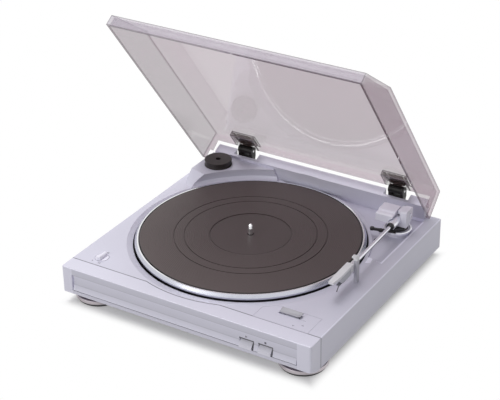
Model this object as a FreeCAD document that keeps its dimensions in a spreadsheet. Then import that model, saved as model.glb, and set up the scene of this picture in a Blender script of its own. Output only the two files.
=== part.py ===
import FreeCAD, Part
import math
import os

import Sketcher

# Turntable with a hinged dust cover, in millimetres.
# The origin lies on the standing surface, straight below the spindle.
# +X points right, +Y to the rear and +Z up, and the cover stands open.

SIZES = [
    # Plinth
    ("plinth_width", 360, "width over the side walls"),
    ("plinth_depth", 346, "depth over the front and rear walls"),
    ("spindle_left", 13, "spindle left of the plinth's middle"),
    ("spindle_front", 182, "spindle behind the front face"),
    ("deck_height", 53, "deck above the standing surface"),
    ("skirt_height", 10.7, "lower edge of the walls above the standing surface"),
    ("case_wall", 2.6, "wall of the case mouldings"),
    ("edge_round", 0.8, "rounding of the upper edges"),
    ("corner_round", 3, "rounding of the fascia's outer corners"),
    ("seam_set", 23.5, "seam behind the front face"),
    ("seam_gap", 0.6, "gap of the seam"),
    ("bulge_reach", 8.5, "forward bulge of the top case in front of the seam"),
    ("bulge_depth", 7, "depth of the bulge's edge"),
    # Well under the platter
    ("well_radius", 152.3, "upright wall of the well"),
    ("well_floor", 34, "floor of the well above the standing surface"),
    ("floor_wall", 2.5, "thickness of the well's floor"),
    ("dish_radius", 162, "outer edge of the sloping dish"),
    ("dish_right", 4.5, "dish's centre right of the spindle"),
    ("dish_forward", 3, "dish's centre in front of the spindle"),
    ("dish_depth", 4, "depth of the sloping dish at the well"),
    # Rear rib and tier
    ("rib_front", 151.5, "front face of the rib behind the spindle"),
    ("rib_left", 151.4, "left end of the rib left of the spindle"),
    ("rib_right", 174.5, "right end of the rib right of the spindle"),
    ("rib_front_rise", 18.5, "rib's top above the deck, at its front"),
    ("rib_rear_rise", 23.9, "rib's top above the deck, at its rear"),
    ("tier_rise", 15, "tier's top above the deck"),
    ("tier_left", 155, "tier's upper left edge left of the spindle"),
    ("tier_draft", 1.5, "slope of the tier's left side"),
    ("tier_right", 54.5, "tier's right end left of the spindle"),
    ("tier_end_slope", 8, "slope of the tier's right end"),
    ("tier_wall_radius", 157.5, "tier's wall round the platter"),
    ("tier_cove", 3.6, "how far the tier's wall reaches in at its foot"),
    ("ramp_top", 97, "upper left end of the ramp behind the spindle"),
    ("ramp_foot", 81, "lower left end of the ramp behind the spindle"),
    ("ramp_skew", 29, "how far the ramp's inner end lies further forward"),
    # Recess round the tonearm
    ("recess_depth", 5.2, "depth of the recess"),
    ("recess_right", 175.4, "recess's right edge right of the spindle"),
    ("recess_front", 23, "recess's front edge behind the spindle"),
    ("recess_skew", 9, "how far the recess's inner front corner lies further back"),
    ("recess_front_slope", 12, "width of the front sloping edge at its right end"),
    ("recess_slope", 3.5, "width of the recess's sloping edge"),
    ("recess_inner_radius", 156.5, "recess's edge round the platter"),
    # Fascia
    ("lip_height", 16.5, "lower edge of the front face"),
    ("chin_depth", 10.5, "depth of the slope under the front face"),
    ("strip_left", 152, "recessed strip's left end left of the spindle"),
    ("strip_right", 174, "recessed strip's right end right of the spindle"),
    ("strip_top", 43.7, "upper edge of the strip"),
    ("strip_step", 29.8, "upper edge of the strip's sloping ledge"),
    ("strip_bottom", 21.6, "lower edge of the strip's sloping ledge"),
    ("strip_depth", 2.2, "depth of the strip"),
    ("strip_end_line", 1.2, "width of the line at the strip's ends"),
    ("strip_line", 0.5, "width of the lines over and under the strip"),
    # Keys
    ("key_width", 17.4, "width of a key"),
    ("start_key_x", 104.2, "middle of the start key right of the spindle"),
    ("stop_key_x", 130.4, "middle of the stop key right of the spindle"),
    ("key_top", 31.8, "upper edge of a key"),
    ("key_brow", 26.2, "upper edge of a key's face"),
    ("key_bottom", 22.4, "lower edge of a key"),
    ("key_proud", 1.8, "key's face in front of the fascia"),
    ("key_gap", 0.7, "gap round a key"),
    ("key_travel", 2, "travel of a key"),
    # Cue panel and lever
    ("panel_left", 100, "cue panel's left edge right of the spindle"),
    ("panel_right", 175, "cue panel's right edge right of the spindle"),
    ("panel_rear", 123.4, "cue panel's rear edge in front of the spindle"),
    ("panel_plate", 1.2, "thickness of the cue panel"),
    ("panel_gap", 0.3, "gap round the cue panel"),
    ("panel_arc_radius", 168.5, "cue panel's edge round the platter"),
    ("lever_pivot_x", 145.8, "cue lever's pivot right of the spindle"),
    ("lever_pivot_z", 43.5, "cue lever's pivot above the standing surface"),
    ("lever_reach", 21.6, "reach of the lever's tab left of its pivot"),
    ("lever_heel", 6.8, "reach of the lever's heel right of its pivot"),
    ("lever_front", 137, "lever's front face in front of the spindle"),
    ("lever_width", 8, "depth of the lever's tab"),
    ("lever_stem", 4.6, "depth of the lever's stem"),
    ("lever_lift", 1.2, "gap under the lever's tab"),
    ("lever_tab", 3.1, "thickness of the lever's tab"),
    ("lever_pin_radius", 1.5, "radius of the lever's pin"),
    ("finger_depth", 3.7, "depth of the finger recess"),
    # Speed selector
    ("knob_inset", 32.5, "speed knob in from the left wall"),
    ("knob_y", 140.2, "speed knob in front of the spindle"),
    ("knob_dish_radius", 9.3, "radius of the knob's dish"),
    ("knob_dish_depth", 2, "depth of the knob's dish"),
    ("knob_gap", 0.6, "gap round the knob"),
    ("knob_grip_height", 4.4, "top of the knob's grip above the deck"),
    ("knob_grip_width", 6, "width of the knob's grip"),
    ("knob_turn", 0, "turn of the grip from the front direction, in degrees"),
    # Feet and bottom
    ("foot_side", 30.5, "front feet in from the side walls"),
    ("foot_inset", 35.5, "front feet behind the front face"),
    ("rear_foot_side", 44, "rear feet in from the side walls"),
    ("rear_foot_inset", 60, "rear feet before the rear face"),
    ("foot_radius", 31, "radius of a foot's ring"),
    ("sole_radius", 28.6, "radius of a foot's sole"),
    ("sole_height", 3.2, "height of a foot's sole"),
    ("ring_height", 8.9, "upper edge of a foot's ring"),
    ("bottom_plate", 2.4, "thickness of the bottom cover"),
    ("bottom_gap", 0.4, "gap round the bottom cover"),
    ("bottom_set", 0.3, "bottom cover above the walls' lower edge"),
    ("slot_pitch", 9, "spacing of the cooling slots"),
    ("slot_width", 4, "width of a cooling slot"),
    ("slot_length", 45, "length of a cooling slot"),
    ("slot_side", 57, "first cooling slot in from the left wall"),
    ("slot_inset", 59, "cooling slots before the rear face"),
    ("boss_left", 10, "left bosses in from the side wall"),
    ("boss_right", 9, "right bosses in from the side wall"),
    ("boss_front", 36, "front bosses behind the front face"),
    ("boss_rear_left", 52, "left boss before the rear face"),
    ("boss_rear_right", 14, "right boss before the rear face"),
    # Platter
    ("platter_radius", 150, "radius of the platter"),
    ("rim_inner_radius", 145.2, "inner edge of the polished rim"),
    ("rim_flat", 1.8, "width of the rim's level edge"),
    ("rim_top", 56.5, "top of the polished rim"),
    ("rim_edge", 53, "lower edge of the rim's bevel"),
    ("platter_bottom", 37, "lower edge of the platter's skirt"),
    ("platter_plate", 3, "thickness of the platter's disc"),
    ("skirt_wall", 3.2, "thickness of the platter's skirt"),
    ("mat_radius", 144, "radius of the mat"),
    ("mat_top", 57, "top of the mat above the standing surface"),
    ("mat_thickness", 3, "thickness of the mat"),
    ("groove_width", 1.1, "width of the mat's ring grooves"),
    ("groove_depth", 0.9, "depth of the mat's ring grooves"),
    ("label_groove", 52.7, "radius of the mat's label groove"),
    ("inner_groove", 86, "radius of the mat's inner groove"),
    ("outer_groove", 99.3, "radius of the mat's outer groove"),
    ("spindle_radius", 3.57, "radius of the spindle above the mat"),
    ("shaft_radius", 4, "radius of the spindle below the mat"),
    ("spindle_rise", 14.3, "spindle's tip above the mat"),
    ("hub_radius", 17, "radius of the platter's hub"),
    ("hub_bottom", 40, "lower end of the platter's hub"),
    ("bearing_gap", 0.05, "running clearance of the spindle and the tonearm's pivots"),
    ("bush_radius", 8, "radius of the main bearing"),
    ("drive_radius", 100, "radius of the platter's drive rim"),
    ("drive_wall", 3, "thickness of the drive rim"),
    ("drive_bottom", 39.5, "lower edge of the drive rim"),
    ("belt_thickness", 0.8, "thickness of the belt"),
    ("belt_gap", 0.3, "clearance of the belt"),
    ("belt_bottom", 41.5, "lower edge of the belt"),
    ("belt_height", 5, "height of the belt"),
    ("pulley_radius", 6.2, "radius of the motor's pulley"),
    ("pulley_flange", 1.4, "how far the pulley's flanges stand out"),
    ("motor_distance", 120, "motor from the spindle"),
    ("motor_angle", 135, "direction of the motor from +X, in degrees"),
    ("motor_radius", 17.5, "radius of the motor"),
    ("motor_shaft_radius", 1, "radius of the motor's shaft"),
    # Cam gear
    ("cam_distance", 50, "cam gear from the spindle"),
    ("cam_angle", 36, "direction of the cam gear from +X, in degrees"),
    ("cam_radius", 31, "root radius of the cam gear"),
    ("cam_tooth", 2, "height of a tooth"),
    ("cam_thickness", 3.2, "thickness of the cam gear"),
    ("cam_bore_radius", 3, "radius of the cam gear's post"),
    # Tonearm
    ("pivot_x", 155.5, "arm's upright pivot right of the spindle"),
    ("pivot_y", 112, "arm's upright pivot behind the spindle"),
    ("tilt_z", 77.8, "arm's level pivot above the standing surface"),
    ("arm_turn", 1.65, "arm's outward turn at rest, in degrees"),
    ("tube_side", 4, "tube right of the upright pivot"),
    ("tube_drop", 4.3, "tube below the level pivot"),
    ("tube_radius", 2.5, "radius of the tube"),
    ("tube_bore_radius", 1.9, "bore of the tube"),
    ("tube_front", 147, "front end of the tube from the pivot"),
    ("sleeve_radius", 5.4, "radius of the sleeve"),
    ("sleeve_rear", 11.7, "rear end of the sleeve from the pivot"),
    ("sleeve_front", 31, "front end of the sleeve from the pivot"),
    ("collar_length", 2.4, "length of the dark collar"),
    ("housing_left", 7.5, "left face of the arm housing right of the pivot"),
    ("housing_width", 9, "width of the arm housing"),
    ("housing_front", 11.5, "front face of the arm housing from the pivot"),
    ("housing_rear", 8.5, "rear face of the arm housing behind the pivot"),
    ("housing_top", 8.2, "top of the arm housing above the level pivot"),
    ("housing_bottom", 14, "foot of the arm housing below the level pivot"),
    ("lid_left", 21.5, "left face of the yoke's cover left of the pivot"),
    ("lid_right", 2.4, "right face of the yoke's cover right of the pivot"),
    ("lid_front", 24, "front face of the yoke's cover from the pivot"),
    ("lid_rear", 5, "rear face of the yoke's cover behind the pivot"),
    ("lid_bottom", 4.8, "underside of the yoke's cover below the level pivot"),
    ("lid_top", 8, "top of the yoke's cover above the level pivot"),
    ("neck_radius", 6, "radius of the yoke's neck"),
    ("neck_bottom", 57.5, "lower end of the yoke's neck"),
    ("post_radius", 3, "radius of the upright pivot's post"),
    ("pin_radius", 2, "radius of the level pivot's pin"),
    ("base_radius", 16, "radius of the arm's base"),
    ("base_top", 56, "top of the arm's base"),
    ("base_ring_width", 2.4, "width of the bright ring round the arm's base"),
    ("cap_radius", 3.3, "radius of the two dark caps in the recess"),
    ("weight_radius", 4.4, "radius of the counterweight"),
    ("weight_length", 6, "length of the counterweight"),
    ("weight_side", 8.5, "counterweight right of the upright pivot"),
    ("shell_width", 9, "width of the headshell"),
    ("shell_rear", 146, "rear end of the headshell from the pivot"),
    ("shell_front", 197, "front end of the headshell from the pivot"),
    ("shell_top", 2.2, "top of the headshell above the level pivot"),
    ("shell_plate", 3.2, "thickness of the headshell's finger plate"),
    ("cartridge_length", 27, "length of the cartridge"),
    ("cartridge_height", 10, "height of the cartridge"),
    ("stylus_tip", 58.4, "tip of the stylus above the standing surface"),
    ("stylus_reach", 182, "tip of the stylus from the pivot"),
    ("lift_inner_radius", 12.5, "inner edge of the lift bar's arc"),
    ("lift_width", 6.5, "width of the lift bar's arc"),
    ("lift_thickness", 2.4, "thickness of the lift bar"),
    ("lift_gap", 0.3, "gap between the lift bar and the arm housing"),
    ("lift_arm_reach", 25, "reach of the lift bar's arm left of the pivot"),
    # Arm rest
    ("rest_y", 29.5, "arm rest in front of the spindle"),
    ("rest_top", 89, "top of the arm rest"),
    ("rest_depth", 6, "depth of the arm rest"),
    ("rest_post", 4.6, "width of the arm rest's post"),
    ("rest_gap", 1.6, "gap between the tube and the post"),
    ("pad_gap", 0.3, "gap between the tube and the pad"),
    # Adapter
    ("adapter_x", 130, "adapter left of the spindle"),
    ("adapter_y", 126, "adapter behind the spindle"),
    ("adapter_radius", 19, "radius of the adapter"),
    ("adapter_height", 9, "height of the adapter"),
    ("adapter_sink", 1, "depth of the adapter's seat"),
    # Dust cover
    ("cover_half_width", 176, "cover left and right of the plinth's middle, at its lower edge"),
    ("cover_top_half_width", 174, "cover left and right of the plinth's middle, at its top"),
    ("cover_length", 337.3, "cover in front of its hinge line"),
    ("cover_height", 41, "height of the cover"),
    ("cover_lip", 14, "height of the cover's front edge"),
    ("cover_slope", 75, "length of the cover's sloping front"),
    ("cover_wall", 3, "wall of the cover"),
    ("cover_lift", 1, "closed cover above the deck"),
    ("cover_tab", 11, "width of the tabs at the cover's rear corners"),
    ("cover_tab_foot", 5.6, "width of these tabs at their lower end"),
    ("cover_tab_step", 13.5, "height of the tabs' narrow lower end"),
    ("cover_rear_gap", 30.5, "height of the cut-out in the cover's rear wall"),
    ("cover_open", 53.5, "opening angle in the photographed state, in degrees"),
    ("hinge_y", 159.3, "hinge line behind the spindle"),
    ("hinge_z", 82, "hinge line above the standing surface"),
    # Hinges
    ("hinge_spread", 116.9, "hinges left and right of the plinth's middle"),
    ("notch_width", 36.5, "width of a notch in the rib"),
    ("notch_front", 155, "front face of a notch behind the spindle"),
    ("notch_floor", 4, "floor of a notch above the deck"),
    ("hinge_width", 22, "width of a hinge"),
    ("ear_width", 4.6, "width of a hinge base's ear"),
    ("ear_radius", 5.8, "radius of a hinge's knuckles"),
    ("hinge_pin_radius", 1.6, "radius of a hinge's pin"),
    ("leaf_reach", 13, "reach of a hinge's leaf"),
    ("leaf_thickness", 4, "thickness of a hinge's leaf"),
    ("leaf_gap", 0.3, "gap round a hinge's leaf"),
    ("pocket_wall", 1.5, "wall of the cover's hinge pockets"),
    ("pocket_reach", 28, "reach of the cover's hinge pockets"),
    ("pocket_width", 36.5, "width of the cover's hinge pockets"),
    # Screws and glands
    ("screw_radius", 1.5, "radius of a screw's shank"),
    ("screw_head_radius", 3, "radius of a screw's head"),
    ("screw_length", 12, "length of a bottom screw's shank"),
    ("gland_radius", 5.2, "radius of a cord gland in the wall"),
    ("gland_bore_radius", 3.3, "bore of a cord gland"),
    ("gland_z", 27, "cord glands above the standing surface"),
    ("signal_gland", 30, "signal gland in from the rib's right end"),
    ("mains_gland", 70, "mains gland in from the left wall"),
]

doc = FreeCAD.newDocument("Turntable")
sheet = doc.addObject("Spreadsheet::Sheet", "Sizes")


class Term:
    """A number together with the formula that works it out from the sheet."""

    def __init__(self, value, formula=None):
        self.value = float(value)
        self.formula = repr(float(value)) if formula is None else formula

    def __add__(self, other):
        other = term(other)
        return Term(self.value + other.value, "(%s + %s)" % (self.formula, other.formula))

    def __sub__(self, other):
        other = term(other)
        return Term(self.value - other.value, "(%s - %s)" % (self.formula, other.formula))

    def __mul__(self, other):
        other = term(other)
        return Term(self.value * other.value, "%s * %s" % (self.formula, other.formula))

    def __truediv__(self, other):
        other = term(other)
        return Term(self.value / other.value, "%s / %s" % (self.formula, other.formula))

    def __radd__(self, other):
        return term(other) + self

    def __rsub__(self, other):
        return term(other) - self

    def __rmul__(self, other):
        return term(other) * self

    def __neg__(self):
        return Term(-self.value, "(-1 * %s)" % self.formula)

    def __float__(self):
        return self.value


def term(number):
    """Give a plain number the form of a Term."""
    return number if isinstance(number, Term) else Term(number)


class Sheet:
    """The sizes of the sheet, one attribute for each alias."""


def fill_sheet():
    """Write the sizes into the spreadsheet and return them by alias."""
    sizes = Sheet()
    for row, (alias, value, meaning) in enumerate(SIZES, 1):
        sheet.set("A%d" % row, meaning)
        sheet.set("B%d" % row, str(value))
        sheet.setAlias("B%d" % row, alias)
        setattr(sizes, alias, Term(value, "Sizes.%s" % alias))
    doc.recompute()
    return sizes


S = fill_sheet()

LEFT = S.spindle_left - S.plinth_width / 2
RIGHT = S.spindle_left + S.plinth_width / 2
FRONT = -S.spindle_front
REAR = S.plinth_depth - S.spindle_front
SEAM = FRONT + S.seam_set
BULGE = S.bulge_reach - SEAM
KNOB_X = LEFT + S.knob_inset
DECK = S.deck_height
CEILING = DECK - S.case_wall
BOTTOM = S.skirt_height + S.bottom_set
BOTTOM_TOP = BOTTOM + S.bottom_plate
FLOOR_UNDER = S.well_floor - S.floor_wall
OVER = 5

TURNS = {
    "X": FreeCAD.Rotation(FreeCAD.Vector(0, 1, 0), 90),
    "Y": FreeCAD.Rotation(FreeCAD.Vector(1, 0, 0), -90),
    "Z": FreeCAD.Rotation(),
}


# Building blocks

def bind(item, path, size):
    """Tie one property of an object to the sheet."""
    item.setExpression(path, term(size).formula)


def put(item, x=0, y=0, z=0):
    """Tie an object's place to the sheet."""
    for axis, size in zip("xyz", (x, y, z)):
        bind(item, ".Placement.Base." + axis, size)
    return item


def box(name, low, high):
    """A block between two corners."""
    item = doc.addObject("Part::Box", name)
    for side, start, end in zip(("Length", "Width", "Height"), low, high):
        bind(item, side, term(end) - start)
    return put(item, *low)


def rod(name, radius, start, length, axis="Z"):
    """A round bar from a point along an axis."""
    item = doc.addObject("Part::Cylinder", name)
    item.Placement.Rotation = TURNS[axis]
    bind(item, "Radius", radius)
    bind(item, "Height", length)
    return put(item, *start)


def cut(name, base, *tools):
    """Take one or more tools away from a base."""
    item = doc.addObject("Part::Cut", name)
    item.Base = base
    item.Tool = tools[0] if len(tools) == 1 else join(name + "Tools", *tools)
    return item


def join(name, *parts):
    """Melt parts into one solid."""
    item = doc.addObject("Part::MultiFuse", name)
    item.Shapes = list(parts)
    item.Refine = True
    return item


def overlap(name, *parts):
    """Keep what the parts share."""
    item = doc.addObject("Part::MultiCommon", name)
    item.Shapes = list(parts)
    return item


def group(name, *parts):
    """Keep parts as separate solids of one piece."""
    item = doc.addObject("Part::Compound", name)
    item.Links = list(parts)
    return item


def origin_plane(body, role):
    """Find one of a body's own planes."""
    return [item for item in body.Origin.OriginFeatures if item.Role == role][0]


def start_sketch(body, role, offset=0):
    """Start a sketch on one of the body's planes, moved along its normal."""
    sketch = body.newObject("Sketcher::SketchObject", body.Name + "Sketch")
    sketch.AttachmentSupport = [(origin_plane(body, role), "")]
    sketch.MapMode = "FlatFace"
    bind(sketch, ".AttachmentOffset.Base.z", offset)
    return sketch


def fix_point(sketch, edge, end, point):
    """Tie a point of a sketch to the sheet."""
    for kind, size in zip(("DistanceX", "DistanceY"), point):
        size = term(size)
        index = sketch.addConstraint(Sketcher.Constraint(kind, -1, 1, edge, end, size.value))
        sketch.setExpression("Constraints[%d]" % index, size.formula)


def draw_outline(sketch, points):
    """Draw a closed outline of straight edges."""
    first = sketch.GeometryCount
    corners = [FreeCAD.Vector(float(u), float(v), 0) for u, v in points]
    count = len(points)
    for index in range(count):
        edge = Part.LineSegment(corners[index], corners[(index + 1) % count])
        sketch.addGeometry(edge, False)
    for index in range(count):
        after = first + (index + 1) % count
        sketch.addConstraint(Sketcher.Constraint("Coincident", first + index, 2, after, 1))
    for index, point in enumerate(points):
        fix_point(sketch, first + index, 1, point)


def draw_circle(sketch, radius, centre=(0, 0)):
    """Draw a circle."""
    middle = FreeCAD.Vector(float(centre[0]), float(centre[1]), 0)
    ring = Part.Circle(middle, FreeCAD.Vector(0, 0, 1), float(radius))
    edge = sketch.addGeometry(ring, False)
    index = sketch.addConstraint(Sketcher.Constraint("Radius", edge, float(radius)))
    sketch.setExpression("Constraints[%d]" % index, term(radius).formula)
    fix_point(sketch, edge, 3, centre)


def turned(name, outline, x=0, y=0):
    """A body turned about an upright axis from (radius, height) points."""
    body = doc.addObject("PartDesign::Body", name)
    sketch = start_sketch(body, "XZ_Plane")
    draw_outline(sketch, outline)
    turn = body.newObject("PartDesign::Revolution", name + "Turn")
    turn.Profile = sketch
    turn.ReferenceAxis = (sketch, ["V_Axis"])
    turn.Angle = 360
    body.Tip = turn
    return put(body, x, y)


def raised(name, outline, low, high, role="XY_Plane"):
    """A body raised from an outline on a plane between two heights."""
    body = doc.addObject("PartDesign::Body", name)
    sketch = start_sketch(body, role, low)
    draw_outline(sketch, outline)
    pad = body.newObject("PartDesign::Pad", name + "Pad")
    pad.Profile = sketch
    bind(pad, "Length", term(high) - low)
    body.Tip = pad
    return body


def lofted(name, outlines, role="XY_Plane"):
    """A body lofted through outlines, each given with its height."""
    body = doc.addObject("PartDesign::Body", name)
    sketches = []
    for height, outline in outlines:
        sketch = start_sketch(body, role, height)
        draw_outline(sketch, outline)
        sketches.append(sketch)
    loft = body.newObject("PartDesign::AdditiveLoft", name + "Loft")
    loft.Profile = sketches[0]
    loft.Sections = sketches[1:]
    loft.Ruled = True
    body.Tip = loft
    return body


def rounded(body, name, radius, wanted):
    """Round the edges of a body's last feature whose middle and direction are wanted."""
    doc.recompute()
    base = body.Tip
    names = []
    for index, edge in enumerate(base.Shape.Edges, 1):
        middle = edge.valueAt((edge.FirstParameter + edge.LastParameter) / 2)
        along = edge.tangentAt(edge.FirstParameter)
        if wanted(middle, along):
            names.append("Edge%d" % index)
    fillet = body.newObject("PartDesign::Fillet", name)
    fillet.Base = (base, names)
    bind(fillet, "Radius", radius)
    body.Tip = fillet
    return body


def near(first, second):
    """Whether two lengths are the same within a hair."""
    return abs(float(first) - float(second)) < 0.01


NODES = []


def node(name, item, *after):
    """Give a finished sub-part its name."""
    item.Label = name
    NODES.append(item)
    return item


# Top case

def top_case():
    """Deck with the platter's well, the rear rib, the tier and every seat in it."""
    block = raised("CaseBlock", [(LEFT, SEAM), (RIGHT, SEAM), (RIGHT, REAR), (LEFT, REAR)],
                   S.skirt_height, DECK)
    rounded(block, "CaseEdges", S.edge_round,
            lambda m, d: (near(m.z, DECK) and not near(m.y, SEAM))
            or (near(abs(d.z), 1) and near(m.y, REAR)))
    bulge = overlap("CaseBulge",
                    rod("BulgeDisc", BULGE, (0, 0, DECK - S.bulge_depth), S.bulge_depth),
                    box("BulgeLimit", (-S.plinth_width / 4, -BULGE - 1, 0),
                        (S.plinth_width / 4, SEAM + 1, DECK)))
    skin = join("CaseSkin", block, bulge)
    hollow = box("CaseHollow", (LEFT + S.case_wall, SEAM - OVER, 0),
                 (RIGHT - S.case_wall, REAR - S.case_wall, CEILING))
    shell = cut("CaseShell", skin, hollow)
    parts = [shell, overlap("WellInCase", well_cup(), join("CaseLimit", case_limit(), bulge))]
    parts += [rear_rib(), tier()]
    parts += deck_backing()
    parts += screw_bosses()
    solid = join("CaseSolid", *parts)
    return node("top_case", cut("TopCase", solid, *case_cuts()))


def case_limit():
    """Space inside the case's outer skin."""
    return box("CaseInside", (LEFT + 1, SEAM + 1, S.skirt_height), (RIGHT - 1, REAR - 1, DECK - 0.5))


def well_cup():
    """Cup and flange that the platter turns in, before its hollow is taken out."""
    outer = S.well_radius + S.floor_wall
    flange = S.dish_radius + S.dish_right + S.floor_wall
    under = CEILING - S.dish_depth
    return turned("WellCup", [(0, FLOOR_UNDER), (outer, FLOOR_UNDER), (outer, under),
                              (flange, under), (flange, DECK), (0, DECK)])


def rear_rib():
    """Rib along the rear edge, with a hollow between its hinge notches."""
    top = [(S.rib_front, DECK - 1), (S.rib_front, DECK + S.rib_front_rise),
           (REAR, DECK + S.rib_rear_rise), (REAR, DECK - 1)]
    return raised("RearRib", top, -S.rib_left, S.rib_right, "YZ_Plane")


def rib_hollows():
    """Hollows under the rib, clear of the hinge notches."""
    wall = S.case_wall
    middle = S.hinge_spread - S.notch_width / 2 - wall
    outline = [(S.rib_front + wall, S.skirt_height), (S.rib_front + wall, DECK + S.rib_front_rise - wall),
               (REAR - wall, DECK + S.rib_rear_rise - wall), (REAR - wall, S.skirt_height)]
    return raised("RibHollow", outline, S.spindle_left - middle, S.spindle_left + middle, "YZ_Plane")


def tier():
    """Raised corner for the adapter, with its ramp and its wall round the platter."""
    left = -S.tier_left
    rear = S.rib_front + 1
    end = S.tier_end_slope - S.tier_right
    foot = [(left - S.tier_draft, S.ramp_foot), (end, S.ramp_foot - S.ramp_skew * 3),
            (end, rear), (left - S.tier_draft, rear)]
    top = [(left, S.ramp_top), (-S.tier_right, S.ramp_top - S.ramp_skew),
           (-S.tier_right, rear), (left, rear)]
    wedge = lofted("TierWedge", [(DECK - 1, foot), (DECK + S.tier_rise, top)])
    wall = S.tier_wall_radius
    cove = S.tier_cove
    over = DECK + S.tier_rise + OVER
    bore = turned("TierBore", [(0, DECK - 2), (wall - cove, DECK - 2), (wall - cove, DECK),
                               (wall - cove / 2, DECK + cove / 2), (wall, DECK + cove * 1.5), (wall, over), (0, over)])
    return cut("Tier", wedge, bore)


def deck_backing():
    """Thicker places under the deck where something is set into it."""
    wall = S.case_wall
    recess = box("RecessBacking", (0, S.recess_front - wall, CEILING - S.recess_depth),
                 (S.recess_right + wall, REAR - 1, CEILING + 1))
    panel = box("PanelBacking", (S.panel_left - wall, -S.lever_front - OVER, CEILING - S.recess_depth),
                (S.panel_right, -S.panel_rear + wall, CEILING + 1))
    knob = rod("KnobBacking", S.knob_dish_radius + wall, (KNOB_X, -S.knob_y, CEILING - wall), wall + 1)
    return [recess, panel, knob]


BOSSES = [
    (LEFT + S.boss_left, FRONT + S.boss_front),
    (LEFT + S.boss_left, REAR - S.boss_rear_left),
    (RIGHT - S.boss_right, FRONT + S.boss_front),
    (RIGHT - S.boss_right, FRONT + S.spindle_front),
    (RIGHT - S.boss_right, REAR - S.boss_rear_right),
]


def screw_bosses():
    """Bosses that take the bottom cover's screws."""
    return [rod("Boss%d" % index, S.screw_radius + S.case_wall, (x, y, BOTTOM_TOP), CEILING + 1 - BOTTOM_TOP)
            for index, (x, y) in enumerate(BOSSES, 1)]


def screw_bores():
    """Bores of the bosses."""
    return [rod("BossBore%d" % index, S.screw_radius, (x, y, BOTTOM_TOP - 1), S.screw_length)
            for index, (x, y) in enumerate(BOSSES, 1)]


def dish():
    """Sloping dish between the well and the deck, wider at the front right."""
    low = Part.Circle(FreeCAD.Vector(0, 0, float(DECK - S.dish_depth)), FreeCAD.Vector(0, 0, 1),
                      float(S.well_radius))
    high = Part.Circle(FreeCAD.Vector(float(S.dish_right), -float(S.dish_forward), float(DECK)),
                       FreeCAD.Vector(0, 0, 1), float(S.dish_radius))
    rings = [Part.Wire(ring.toShape()) for ring in (low, high)]
    item = doc.addObject("Part::Feature", "Dish")
    item.Shape = Part.makeLoft(rings, True, True)
    return item


def arm_recess():
    """Recess round the tonearm with sloping edges, parted from the dish by a thin ridge."""
    back = S.rib_front
    right = S.recess_right
    front = S.recess_front
    inner = S.well_radius
    turn = front + S.recess_skew
    low = [(0, turn + 3), (inner, turn + 3), (right - S.recess_slope, front + S.recess_front_slope),
           (right - S.recess_slope, back), (0, back)]
    high = [(0, turn), (inner, turn), (right, front), (right, back), (0, back)]
    block = lofted("RecessBlock", [(DECK - S.recess_depth, low), (DECK, high)])
    ridge = rod("RecessRidge", S.recess_inner_radius, (0, 0, 0), DECK + 1)
    return cut("Recess", block, ridge)


def panel_seat():
    """Seat of the cue panel, its inner corner cut round the platter."""
    seat = box("PanelSeat", (S.panel_left, SEAM - 1, DECK - S.panel_plate),
               (S.panel_right, -S.panel_rear, DECK + 1))
    return cut("PanelSeatCut", seat, rod("PanelSeatArc", S.panel_arc_radius, (0, 0, 0), DECK + 2))


def stem_slot(name):
    """Slot that the lever's stem leans through, hidden under the tab."""
    half = S.lever_pin_radius + 1
    lean = (DECK - S.lever_pivot_z) * 0.28
    side = 0.5
    return box(name, (S.lever_pivot_x - half - side, STEM_FRONT - side, 0),
               (S.lever_pivot_x + half + lean + side, STEM_REAR + side, DECK + 1))


def finger_recess(name):
    """Recess for a fingertip under the tab's free end."""
    left = S.lever_pivot_x - S.lever_reach
    return box(name, (left - 1, -S.lever_front - 0.7, DECK - S.finger_depth),
               (left + S.lever_reach / 2.6, -S.lever_front + S.lever_width - 0.5, DECK + 1))


STEM_FRONT = -S.lever_front + (S.lever_width - S.lever_stem) / 2
STEM_REAR = STEM_FRONT + S.lever_stem


def case_cuts():
    """Everything that is taken out of the case."""
    well = rod("WellVoid", S.well_radius, (0, 0, S.well_floor), S.tier_rise + S.rib_rear_rise + DECK)
    cuts = [well, dish(), arm_recess(), panel_seat(), rib_hollows()]
    cuts += [finger_recess("FingerRecess"), stem_slot("StemSlot")]
    cuts.append(rod("KnobDish", S.knob_dish_radius, (KNOB_X, -S.knob_y, DECK - S.knob_dish_depth), OVER))
    cuts.append(rod("KnobBore", KNOB_SHAFT + 0.3, (KNOB_X, -S.knob_y, 0), DECK))
    cuts.append(rod("AdapterSeat", S.adapter_radius + 0.5,
                    (-S.adapter_x, S.adapter_y, DECK + S.tier_rise - S.adapter_sink), OVER))
    cuts.append(rod("BearingHole", S.bush_radius + 0.2, (0, 0, 0), S.well_floor + 1))
    cuts.append(rod("PulleyHole", S.pulley_radius + S.pulley_flange + 1.5, (MOTOR_X, MOTOR_Y, 0),
                    S.well_floor + 1))
    cuts += screw_bores()
    for side, x in hinge_places():
        cuts.append(box("Notch" + side, (x - S.notch_width / 2, S.notch_front, DECK + S.notch_floor),
                        (x + S.notch_width / 2, REAR + 1, DECK + S.rib_rear_rise + 1)))
    for name, x in GLANDS:
        cuts.append(rod("Hole" + name, S.gland_radius + 0.1, (x, REAR - S.case_wall - 1, S.gland_z),
                        S.case_wall + 2, "Y"))
    return cuts


def hinge_places():
    """Name and place of the two hinges."""
    return [("Left", S.spindle_left - S.hinge_spread), ("Right", S.spindle_left + S.hinge_spread)]


def polar(distance, angle):
    """Place at a distance and an angle from the spindle."""
    x = Term(distance.value * math.cos(math.radians(angle.value)),
             "%s * cos(%s * 1deg)" % (distance.formula, angle.formula))
    y = Term(distance.value * math.sin(math.radians(angle.value)),
             "%s * sin(%s * 1deg)" % (distance.formula, angle.formula))
    return x, y


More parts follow.
